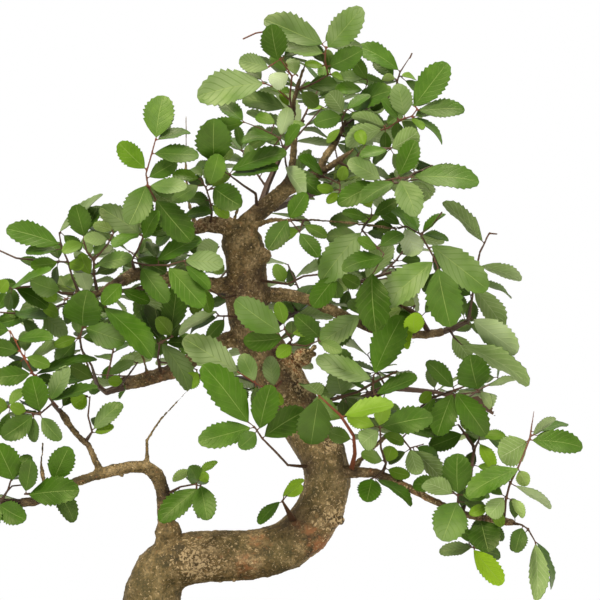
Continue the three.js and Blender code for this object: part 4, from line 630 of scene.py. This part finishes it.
def newLeaf(root, heading, facing, length, rng):
    along = heading.normalized()
    up = (facing - along * facing.dot(along)).normalized()
    width = length * innerLeaves["proportion"] * rng.uniform(*innerLeaves["uneven"])
    return {"base": root + along * rng.uniform(*innerLeaves["stalk"]) * mm, "along": along, "up": up,
            "side": along.cross(up), "length": length, "width": width,
            "arch": -rng.uniform(0, innerLeaves["mostArch"]), "fold": rng.uniform(*innerLeaves["fold"]),
            "inner": True}


def keepLeaf(name, root, leaf, samples):
    shoots[name]["leaves"].append(leaf)
    shoots[name]["stalks"].append((root, leaf["base"] + leaf["along"] * innerLeaves["stalkEnd"] * mm))
    for point in samples:
        covered.add(viewCell(point))
        filled.add(spaceCell(point))


# Gaps of the front view, cell by cell: a leaf from a near twig that reaches over the cell
def closeGaps(rng):
    rule = innerLeaves
    cells = sorted(within - covered)
    rng.shuffle(cells)
    count = 0
    for cell in cells:
        if cell in covered:
            continue
        x, z = cell[0] * rule["cell"], cell[1] * rule["cell"]
        hits = twigsInView.find_n((x, z, 0), rule["nearTwigs"])
        near = [index for _, index, gap in hits if gap < rule["longest"]]
        if not near:
            continue
        name, root = attachments[rng.choice(near)]
        rootX, rootZ = seenAt(root)
        reach = math.hypot(x - rootX, z - rootZ)
        length = clamp(reach * rng.uniform(*rule["stretch"]), rule["shortest"], rule["longest"])
        stray = rng.uniform(-rule["stray"], rule["stray"])
        angle = math.atan2(z - rootZ, x - rootX) + stray
        heading = Vector((math.cos(angle), rng.uniform(*rule["gapBack"]), math.sin(angle)))
        facing = Vector((rng.uniform(*rule["gapAside"]), -1, rng.uniform(*rule["gapUp"])))
        leaf = newLeaf(root, heading, facing, length * mm, rng)
        samples = list(leafSamples(leaf))
        fresh = {viewCell(point) for point in samples} - covered
        if len(fresh) >= rule["newShare"] * len(samples) and mayGrow(samples):
            keepLeaf(name, root, leaf, samples)
            count += 1
    return count


# Leaves that face the back and the sides, from every stem of one shoot
def leafOut(name, tries, kept, rng):
    rule = innerLeaves
    roots = [v.co.copy() for v in shoots[name]["stems"].verts]
    count = 0
    for _ in range(tries):
        if count == kept:
            break
        root = rng.choice(roots)
        angle = rng.uniform(0, math.tau)
        back = rule["around"] * math.sin(angle) + rule["back"]
        heading = Vector((math.cos(angle), back, rng.uniform(*rule["climb"])))
        facing = Vector((rng.uniform(*rule["backAside"]), rng.uniform(*rule["backFacing"]), 1))
        length = rng.uniform(rule["shortest"] + rule["longer"], rule["longest"] + rule["longer"])
        leaf = newLeaf(root, heading, facing, length * mm, rng)
        samples = list(leafSamples(leaf))
        if mayGrow(samples):
            keepLeaf(name, root, leaf, samples)
            count += 1
    return count


growth = random.Random(31)
gapCount = sum(closeGaps(growth) for _ in range(innerLeaves["rounds"]))
backCount = 0
for name in shootNames:
    part = "rear" if name.startswith("bough_") else "back"
    backCount += leafOut(name, innerLeaves[part + "Tries"], innerLeaves[part + "Kept"], growth)
print("leaves added:", gapCount, "in the crown's gaps and", backCount, "behind")

# Leaves that stand out by colour or by painted sheen: [x, z, radius, shade, youth, painted sheen]
colouredLeaves = [
    [94, 17, 8, 0.95, 0.95, 0], [-123, 175, 5, 0.8, 0.5, 0], [-3, 54, 8, 0.9, 0.5, 0],
    [33, 97, 10, 0.75, 0.35, 0.2], [-84, 221, 6, 0.6, 0.1, 0], [95, 72, 6, 0.8, 0.4, 0],
    [57, 137, 6, 0.9, 0.7, 0], [-2, 275, 7, 0.7, 0, 1], [-11, 262, 5, 0.7, 0, 1],
    [57, 177, 6, 0.6, 0, 1], [50, 158, 7, 0.6, 0, 0.7], [22, 119, 8, 0.6, 0, 0.9],
    [-2, 242, 6, 0.7, 0.1, 0.7], [-60, 118, 8, 0.3, 0, 0.5], [-75, 246, 9, 0.6, 0, 0.2],
    [-64, 205, 8, 0.5, 0, 0.8], [-52, 176, 8, 0.5, 0, 0.7], [80, 168, 9, 0.5, 0, 0.4],
]
leafTone = {
    # tone ranges; the range of the leaves inside and behind the crown is lower, painted shade
    "shade": (0.14, 0.64, 0.36), "innerToneWithPaintedShade": (0.02, 0.5, 0.24),  # least, most and usual
    # amounts of painted sheen: at most on an inner leaf, how many other leaves get a strong one, and its
    # strong and faint ranges
    "innerYoung": 0.06, "innerYouth": 0.25, "innerPaintedSheen": 0.3,
    "youngUnder": 13, "mostYouth": 0.3,
    "paintedSheenShare": 0.25, "strongPaintedSheen": (0.3, 0.7), "faintPaintedSheen": (0, 0.12),
}
# How a blade waves, twists, droops and bends, and how much it has grown past its solid
leafForm = {
    "waves": 11, "phase": 6.3, "wave": (0.005, 0.03), "twist": 0.2, "droop": 0.25, "droopFrom": 0.55,
    "bend": 0.12, "fullness": (1.0, 1.1), "growing": 1.05, "softFold": 0.55,
}


def leafTint(leaf, rng):
    x, z = seenAt(leaf["base"] + leaf["along"] * leaf["length"] * 0.5)
    # Leaves inside and behind the crown: a darker tone range, painted shade where the leaves in front would
    # shadow them
    if leaf["inner"]:
        youth = leafTone["innerYouth"] if rng.random() < leafTone["innerYoung"] else 0
        return rng.triangular(*leafTone["innerToneWithPaintedShade"]), youth, rng.uniform(0, leafTone["innerPaintedSheen"]), 1
    for cx, cz, reach, shade, youth, paintedSheen in colouredLeaves:
        if math.hypot(x - cx, z - cz) < reach:
            return shade, youth, paintedSheen, 1
    youth = clamp(1 - leaf["length"] / (leafTone["youngUnder"] * mm), 0, leafTone["mostYouth"])
    strong = rng.random() < leafTone["paintedSheenShare"]
    paintedSheen = rng.uniform(*leafTone["strongPaintedSheen" if strong else "faintPaintedSheen"])
    return rng.triangular(*leafTone["shade"]), youth, paintedSheen, 1


def growLeaves(leaves, rng):
    bm = bmesh.new()
    bm.loops.layers.uv.new("blade")
    colour = bm.verts.layers.float_color.new("leafTint")
    form = leafForm
    for leaf in leaves:
        before = len(bm.verts)
        bm.from_mesh(masterLeaf)
        bm.verts.ensure_lookup_table()
        tint = leafTint(leaf, rng)
        wavePhase, waveSize = rng.uniform(0, form["phase"]), rng.uniform(*form["wave"])
        twist, droop = rng.uniform(-form["twist"], form["twist"]), rng.uniform(0, form["droop"])
        bend, fullness = rng.uniform(-form["bend"], form["bend"]), rng.uniform(*form["fullness"])
        length = leaf["length"] * (1 if leaf["inner"] else form["growing"])
        half = leaf["width"] / 2 * fullness
        for v in bm.verts[before:]:
            across, along = v.co.x, v.co.y
            turn = twist * along
            side = leaf["side"] * math.cos(turn) + leaf["up"] * math.sin(turn)
            up = leaf["up"] * math.cos(turn) - leaf["side"] * math.sin(turn)
            fold = leaf["fold"] * abs(across) * half
            rise = leaf["arch"] * length * along * (1 - along)
            rise += fold * (form["softFold"] + (1 - form["softFold"]) * abs(across))
            rise += waveSize * length * math.sin(along * form["waves"] + wavePhase) * across * abs(across)
            rise -= 2 * droop * length * max(along - form["droopFrom"], 0) ** 2
            drift = bend * length * along * (1 - along)
            level = leaf["base"] + leaf["along"] * along * length + side * (across * half + drift)
            v.co = level + up * rise
            v[colour] = tint
    return bm


# Twigs too fine for the solids, on the shoot that each grows from: [x, z, depth] from its root
fineTwigs = {
    "shoot_leader": [[[-10, 231, -29], [-15, 224, -27], [-19, 219, -26]]],
    "shoot_left_limb_far": [[[-150, 50, -38], [-144, 57, -38], [-139, 57.5, -38]]],
    "shoot_right_middle": [[[60, 183, -29], [66, 187, -30], [71, 194, -31]]],
    "shoot_right_end": [[[93, 180.5, 3], [94.6, 183.3, 3], [98.5, 183, 3]]],
    "shoot_right_high": [[[55, 271, 0], [56, 273.5, 0]]],
    "shoot_top": [[[-3, 277, -12], [-12, 285, -12], [-22, 283.5, -12], [-28.5, 280.5, -12]]],
    "shoot_top_left": [[[-1, 262, -14], [-6, 266.5, -16], [-9, 271, -17], [-13, 275.5, -18]]],
}
redShoots = {
    "shoot_left_red": 0.55, "shoot_red_twig": 0.55, "shoot_centre_red": 0.45, "shoot_top": 0.3,
    "shoot_top_left": 0.35, "shoot_left_high": 0.3, "shoot_low_right_side": 0.3, "shoot_right_top": 0.3,
}
twigShape = {
    "voxel": 0.3, "smoothing": 2, "share": 0.4, "stalk": 0.34, "fine": 0.5,
    "rootYouth": 0.1, "tipYouth": 0.25, "leastReach": 20,
}


def growStems(name, bm, stalks):
    for start, end in stalks:
        addTwig(bm, [start, end], [twigShape["stalk"]] * 2)
    for spots in fineTwigs.get(name, []):
        addTwig(bm, [place(*spot) for spot in spots], [twigShape["fine"]] * len(spots))
    bm = remeshed(bm, twigShape)
    youth = bm.verts.layers.float.new("youth")
    root = min((v.co for v in bm.verts), key=lambda p: woodInSpace.find(p)[2]).copy()
    reach = max(max((v.co - root).length for v in bm.verts), twigShape["leastReach"] * mm)
    start = redShoots.get(name, twigShape["rootYouth"])
    for v in bm.verts:
        v[youth] = start + twigShape["tipYouth"] * (v.co - root).length / reach
    return bm


for index, name in enumerate(shootNames):
    shoot = shoots[name]
    short = name.split("_", 1)[1]
    grown = growLeaves(shoot["leaves"], random.Random(400 + index))
    blades = addPiece("leaves_" + short, grown, [leafUpper, leafUnder])
    skin = blades.modifiers.new("blade thickness", "SOLIDIFY")
    skin.thickness = leafShape["thickness"] * mm
    skin.offset = 0
    skin.material_offset = 1
    shadeEvenly(blades)
    stems = growStems(name, shoot["stems"], shoot["stalks"])
    twigs = addPiece("twigs_" + short, stems, [youngBark])
    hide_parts(name)
    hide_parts(name)
print("shoots dressed")

# Trunk and limbs: a swelling, lumpy and grainy skin. Next to a young twig the bark is young too.
trunkShape = {
    "voxel": 0.65, "smoothing": 4, "share": 0.6,
    "swell": 0.5, "swellsPerMm": 0.09, "lump": 0.4, "lumpsPerMm": 0.55, "grain": 0.2, "grainsPerMm": 1.1,
    "knobs": 0.3, "leastKnob": 0.35, "mostKnob": 1.6, "plain": (0.2, 0.25, 0.12),
    "collar": 6, "collarYouth": 0.6, "twigRadii": (0.9, 0.75, 0.6, 0.5),
}
# Patches that show on the bark: [x, z, reach, pores, algae, peeled]
barkPatches = [
    [-51, 18, 12, 1.0, 0.0, 0.0], [-78, 5, 18, 0.25, 0.5, 0.0], [-31, 24, 7, 0.3, 0.6, 0.0],
    [-10, 24, 8, 0.35, 0.6, 0.0], [-28, 17, 8, 0.4, 0.0, 0.6], [-21, 30, 4, 0.2, 0.0, 0.6],
    [11, 27, 7, 0.3, 0.0, 1.0], [17, 42, 8, 0.95, 0.0, 0.1], [8, 60, 14, 0.35, 0.5, 0.0],
    [2, 109, 9, 0.8, 0.0, 0.3], [-26, 150, 22, 0.35, 0.0, 0.1], [-46, 190, 8, 0.9, 0.0, 0.5],
    [-10, 176, 6, 0.8, 0.0, 0.3], [0, 119, 8, 0.9, 0.0, 0.6], [-1, 38, 3, 0.2, 0.0, 1.0],
    [5, 35, 3, 0.3, 0.0, 1.0], [16, 78, 4, 1.1, 0.0, 0.2], [98, 40, 8, 1.0, 0.0, 0.9],
    [58, 52, 14, 0.5, 0.0, 0.6], [35, 67, 8, 0.4, 0.0, 0.4], [-70, 112, 10, 0.2, 0.0, 0.4],
]
# Knots and burrs: [x, z, reach, rise]
trunkKnots = [
    [-46, 193, 7, 1.1], [-34, 191, 6, 1], [-11, 175, 6, 1.6], [-8, 168, 5, 1], [2, 122, 8, 1],
    [7, 128, 5, 1], [-36, 178, 4, 0.8], [8, 100, 8, 0.7], [17, 44, 6, 0.8], [-51, 20, 9, 0.5],
    [14.5, 82, 4, 1.2],
]
# Bare twigs: [x, z, depth] from the root
trunkTwigs = [
    [[-1, 257, -12], [0.5, 262, -12], [2.5, 267.5, -12]],
    [[-34, 188, -2], [-33, 190, -4], [-31, 196, -5]],
    [[9, 212, -14], [7, 205, -14], [12, 204.5, -15], [20, 205, -15]],
    [[46, 133.5, -9], [48.8, 127, -9], [57.4, 129, -9]],
    [[-1, 119, -1], [3, 121, -4], [7.6, 127, -5]],
    [[-76, 112, 4], [-78, 120, 2], [-83, 130, 0]],
    [[-100, 105, 2], [-104, 112, 0], [-110, 127, -2]],
]


def makeTrunk():
    shape = trunkShape
    bm = mergedCopy("trunk")
    for spots in trunkTwigs:
        addTwig(bm, [place(*spot) for spot in spots], shape["twigRadii"][:len(spots)])
    bm = remeshed(bm, shape)
    tone = bm.verts.layers.float_color.new("barkTone")
    for v in bm.verts:
        p = v.co / mm
        rise = shape["swell"] * noise.fractal(p * shape["swellsPerMm"], 0.9, 2.0, 3)
        rise += shape["lump"] * max(noise.noise(p * shape["lumpsPerMm"]), 0)
        rise += shape["grain"] * noise.noise(p * shape["grainsPerMm"])
        knob = shape["leastKnob"] + shape["mostKnob"] * abs(noise.noise(p * shape["knobs"]))
        x, z = seenAt(v.co)
        for spotX, spotZ, reach, height in trunkKnots:
            rise += height * nearness(x, z, spotX, spotZ, reach) * knob
        v.co += v.normal * rise * mm
        channels = shape["plain"]
        for spotX, spotZ, reach, *values in barkPatches:
            near = nearness(x, z, spotX, spotZ, reach)
            channels = [c + (value - c) * near for c, value in zip(channels, values)]
        gap = twigsInSpace.find(v.co)[2] / (shape["collar"] * mm)
        v[tone] = (*channels, shape["collarYouth"] * math.exp(-gap * gap))
    return bm


trunk = addPiece("tree_wood", makeTrunk(), [oldBark])
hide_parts("trunk")
print("trunk:", len(trunk.data.polygons), "faces")

# Pot: unglazed stoneware, turned and drawn out to an oval. The fired clay is matt and dark brown,
# a little uneven in tone, with grit in it that is drawn coarser than it is, so that it shows.
potLook = {
    "cloudSize": 45, "tones": [(0.3, "#3B2A20"), (0.52, "#4E382B"), (0.75, "#644A39")],
    "gritSize": 0.8, "grits": [(0.35, "#9A9A9A"), (0.65, "#FFFFFF")], "gritShare": 0.6,
    "roughness": 0.6, "ior": 1.5, "relief": 0.4, "depth": 0.3,
}


def potMaterial():
    material, tree, surface = newMaterial("unglazed stoneware", potLook)
    where = addNode(tree, "TexCoord", output="Object")
    clouds = addNode(tree, "TexNoise", {"Vector": where, "Scale": perMetre(potLook["cloudSize"]),
                                        "Detail": 5})
    grit = addNode(tree, "TexNoise", {"Vector": where, "Scale": perMetre(potLook["gritSize"]),
                                      "Detail": 2})
    colour = addNode(tree, "ValToRGB", {0: clouds}, stops=potLook["tones"])
    grits = addNode(tree, "ValToRGB", {0: grit}, stops=potLook["grits"])
    colour = addNode(tree, "Mix", {0: potLook["gritShare"], 6: colour, 7: grits}, data_type="RGBA",
                     blend_type="MULTIPLY")
    tree.links.new(colour, surface.inputs["Base Color"])
    relief = addNode(tree, "Bump", {"Height": grit, "Strength": potLook["relief"],
                                    "Distance": potLook["depth"] * mm})
    tree.links.new(relief, surface.inputs["Normal"])
    return material


# Soil: damp loam and grit, dark and matt, under cushions of moss
soilLook = {
    "crumbSize": 3, "earth": [(0.3, "#1F1710"), (0.55, "#3A2C1F"), (0.8, "#5C4A34")],
    "moss": [(0.35, "#34471A"), (0.7, "#75843C")],
    "roughness": 0.9, "ior": 1.4, "relief": 1, "depth": 1,
}


def soilMaterial():
    material, tree, surface = newMaterial("damp potting mix", soilLook)
    where = addNode(tree, "TexCoord", output="Object")
    crumbs = addNode(tree, "TexNoise", {"Vector": where, "Scale": perMetre(soilLook["crumbSize"]),
                                        "Detail": 5})
    cover = addNode(tree, "Attribute", attribute_name="moss", output="Fac")
    earth = addNode(tree, "ValToRGB", {0: crumbs}, stops=soilLook["earth"])
    moss = addNode(tree, "ValToRGB", {0: crumbs}, stops=soilLook["moss"])
    colour = addNode(tree, "Mix", {0: cover, 6: earth, 7: moss}, data_type="RGBA")
    tree.links.new(colour, surface.inputs["Base Color"])
    relief = addNode(tree, "Bump", {"Height": crumbs, "Strength": soilLook["relief"],
                                    "Distance": soilLook["depth"] * mm})
    tree.links.new(relief, surface.inputs["Normal"])
    return material


stoneware = potMaterial()
pottingMix = soilMaterial()
potShape = {
    # radius less than the pot's half length, and height above the ground, in millimetres
    "profile": [(-108, 7), (-22, 7), (-16, 10), (-6, 31), (-4, 48), (-1, 50), (0, 54.5), (-1.5, 56),
                (-9, 56), (-10, 54), (-16, 25), (-24, 15), (-108, 15)],
    "rounding": 1.2, "steps": 112, "sides": 32,
    "footSpread": 0.62, "footDepth": 0.46, "footTop": 13, "footBottom": 11, "footHeight": 10,
    "footOval": (1.25, 0.9, 1), "soleRounding": 0.8,
    "drainAside": 26, "drainAt": 7, "drainRadius": 7, "drainLength": 40,
}


def makePot():
    shape = potShape
    halfLength = (potHigh.x - potLow.x) / 2
    squash = (potHigh.y - potLow.y) / (potHigh.x - potLow.x)
    bm = bmesh.new()
    corners = [bm.verts.new((halfLength + inset * mm, 0, height * mm))
               for inset, height in shape["profile"]]
    for a, b in zip(corners, corners[1:]):
        bm.edges.new((a, b))
    bmesh.ops.bevel(bm, geom=corners[1:-1], offset=shape["rounding"] * mm, affect="VERTICES", segments=3,
                    profile=0.5, material=-1)
    bmesh.ops.spin(bm, geom=bm.verts[:] + bm.edges[:], cent=(0, 0, 0), axis=(0, 0, 1), angle=math.tau,
                   steps=shape["steps"], use_merge=True, use_duplicate=False)
    bmesh.ops.scale(bm, vec=(1, squash, 1), verts=bm.verts)
    bmesh.ops.holes_fill(bm, edges=[e for e in bm.edges if e.is_boundary], sides=0)
    bmesh.ops.recalc_face_normals(bm, faces=bm.faces)
    drains = bmesh.new()
    for side in (-1, 1):
        spot = Vector((side * shape["drainAside"] * mm, 0, shape["drainAt"] * mm))
        bmesh.ops.create_cone(drains, cap_ends=True, segments=shape["sides"],
                              radius1=shape["drainRadius"] * mm, radius2=shape["drainRadius"] * mm,
                              depth=shape["drainLength"] * mm, matrix=Matrix.Translation(spot))
    bm = cutOut(bm, drains)
    for side in (-1, 1):
        for end in (-1, 1):
            spot = Vector((side * shape["footSpread"] * halfLength,
                           end * shape["footDepth"] * squash * halfLength, shape["footHeight"] * mm / 2))
            foot = bmesh.ops.create_cone(bm, cap_ends=True, segments=shape["sides"],
                                         radius1=shape["footBottom"] * mm, radius2=shape["footTop"] * mm,
                                         depth=shape["footHeight"] * mm)
            bmesh.ops.scale(bm, vec=shape["footOval"], verts=foot["verts"])
            bmesh.ops.translate(bm, vec=spot, verts=foot["verts"])
            low = {v for v in foot["verts"] if v.co.z < 0.1 * mm}
            sole = [e for e in bm.edges if low.issuperset(e.verts)]
            bmesh.ops.bevel(bm, geom=sole, offset=shape["soleRounding"] * mm, affect="EDGES", segments=2,
                            profile=0.5, material=-1)
    bmesh.ops.recalc_face_normals(bm, faces=bm.faces)
    bmesh.ops.translate(bm, vec=(potCentre.x, potCentre.y, 0), verts=bm.verts)
    return bm


pot = addPiece("oval_pot", makePot(), [stoneware])
shadeEvenly(pot)
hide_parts("pot")
print("pot:", len(pot.data.polygons), "faces")

soilShape = {
    "voxel": 1.3, "smoothing": 3, "share": 1, "level": 0.5, "clods": 1.1, "clodSize": 7, "mossedClods": 0.4,
    "mossRise": 1.6, "mossSize": 26, "mossFrom": 0.02, "mossEdge": 5,
    "grains": 900, "smallest": 0.7, "largest": 1.7, "squeeze": ((0.7, 1.1), (0.7, 1.1), (0.6, 0.9)),
    "underMoss": 0.3, "shown": 0.3,
}


def mossAt(point):
    rise = noise.noise(point / (soilShape["mossSize"] * mm)) - soilShape["mossFrom"]
    return clamp(rise * soilShape["mossEdge"], 0, 1)


def makeSoil():
    shape = soilShape
    bm = remeshed(mergedCopy("soil"), shape)
    cover = bm.verts.layers.float.new("moss")
    top = []
    for v in bm.verts:
        if v.normal.z < shape["level"]:
            continue
        moss = mossAt(v.co)
        clod = noise.fractal(v.co / mm / shape["clodSize"], 0.8, 2.0, 3)
        v[cover] = moss
        top.append(v.co.copy())
        share = 1 - (1 - shape["mossedClods"]) * moss
        v.co.z += (shape["clods"] * clod * share + shape["mossRise"] * moss) * mm
    stone = bmesh.new()
    bmesh.ops.create_icosphere(stone, subdivisions=1, radius=mm)
    grain = meshFrom("grain", stone)
    rng = random.Random(7)
    for _ in range(shape["grains"]):
        spot = rng.choice(top)
        if mossAt(spot) > shape["underMoss"]:
            continue
        size = rng.uniform(shape["smallest"], shape["largest"])
        turn = Matrix.Rotation(rng.uniform(0, math.tau), 4, (rng.random(), rng.random(), 0.5))
        squeeze = Matrix.Diagonal([rng.uniform(*span) for span in shape["squeeze"]] + [1])
        rest = Matrix.Translation(spot + Vector((0, 0, size * shape["shown"] * mm))) @ turn @ squeeze
        before = len(bm.verts)
        bm.from_mesh(grain)
        bm.verts.ensure_lookup_table()
        for v in bm.verts[before:]:
            v.co = rest @ (v.co * size)
    return bm


soil = addPiece("soil_and_moss", makeSoil(), [pottingMix])
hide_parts("soil")
print("soil:", len(soil.data.polygons), "faces")

# Floor: plain matt board, pale so that the tree stands out
floorLook = {"colour": "#F4F4F2", "width": 2.6, "depth": 2.1, "forward": 0.2, "roughness": 0.9, "ior": 1.45}
floorBm = bmesh.new()
bmesh.ops.create_grid(floorBm, x_segments=1, y_segments=1, size=0.5)
bmesh.ops.scale(floorBm, vec=(floorLook["width"], floorLook["depth"], 1), verts=floorBm.verts)
bmesh.ops.translate(floorBm, vec=(0, -floorLook["forward"], 0), verts=floorBm.verts)
floorPiece = addBody("floor", meshFrom("floor", floorBm))
floorMaterial, _, floorSurface = newMaterial("pale floor", floorLook)
floorSurface.inputs["Base Color"].default_value = linear(floorLook["colour"])
floorPiece.data.materials.append(floorMaterial)

# The backdrop shows white, while the sky that lights the tree is dimmer, so its leaves keep depth
studio = {"sky": 0.48, "lampWhite": "#FFF8E6", "aim": (-10, 110, 0)}
world = bpy.data.worlds.new("studio")
bpy.context.scene.world = world
world.use_nodes = True
sky = world.node_tree.nodes["Background"]
sky.inputs[0].default_value = (1, 1, 1, 1)
seen = addNode(world.node_tree, "LightPath", output="Is Camera Ray")
brightness = addNode(world.node_tree, "MapRange", {0: seen, 3: studio["sky"], 4: 1.0})
world.node_tree.links.new(brightness, sky.inputs[1])
bpy.context.scene.view_settings.view_transform = "Standard"

# Soft boxes: place in metres from the crown's middle, watts, width in metres
lights = {
    "key": {"place": (-0.6, -0.9, 1.2), "watts": 24, "width": 0.5},
    "fill": {"place": (1.0, -0.9, 0.4), "watts": 7, "width": 0.9},
    "top": {"place": (0.1, 0.2, 1.3), "watts": 16, "width": 0.7},
}
aim = place(*studio["aim"])
for name, light in lights.items():
    lamp = bpy.data.lights.new(name, "AREA")
    lamp.energy = light["watts"]
    lamp.size = light["width"]
    lamp.color = linear(studio["lampWhite"])[:3]
    body = addBody(name, lamp)
    body.location = aim + Vector(light["place"])
    body.rotation_euler = (aim - body.location).to_track_quat("-Z", "Y").to_euler()

camera = bpy.data.cameras.new("photo view")
camera.sensor_width = view["sensor"]
camera.lens = view["sensor"] * view["distance"] / view["window"]
cameraBody = addBody("photo view", camera)
cameraBody.location = place(0, view["height"], 0) + Vector((0, -view["distance"] * mm, 0))
cameraBody.rotation_euler = (math.pi / 2, 0, 0)
bpy.context.scene.camera = cameraBody
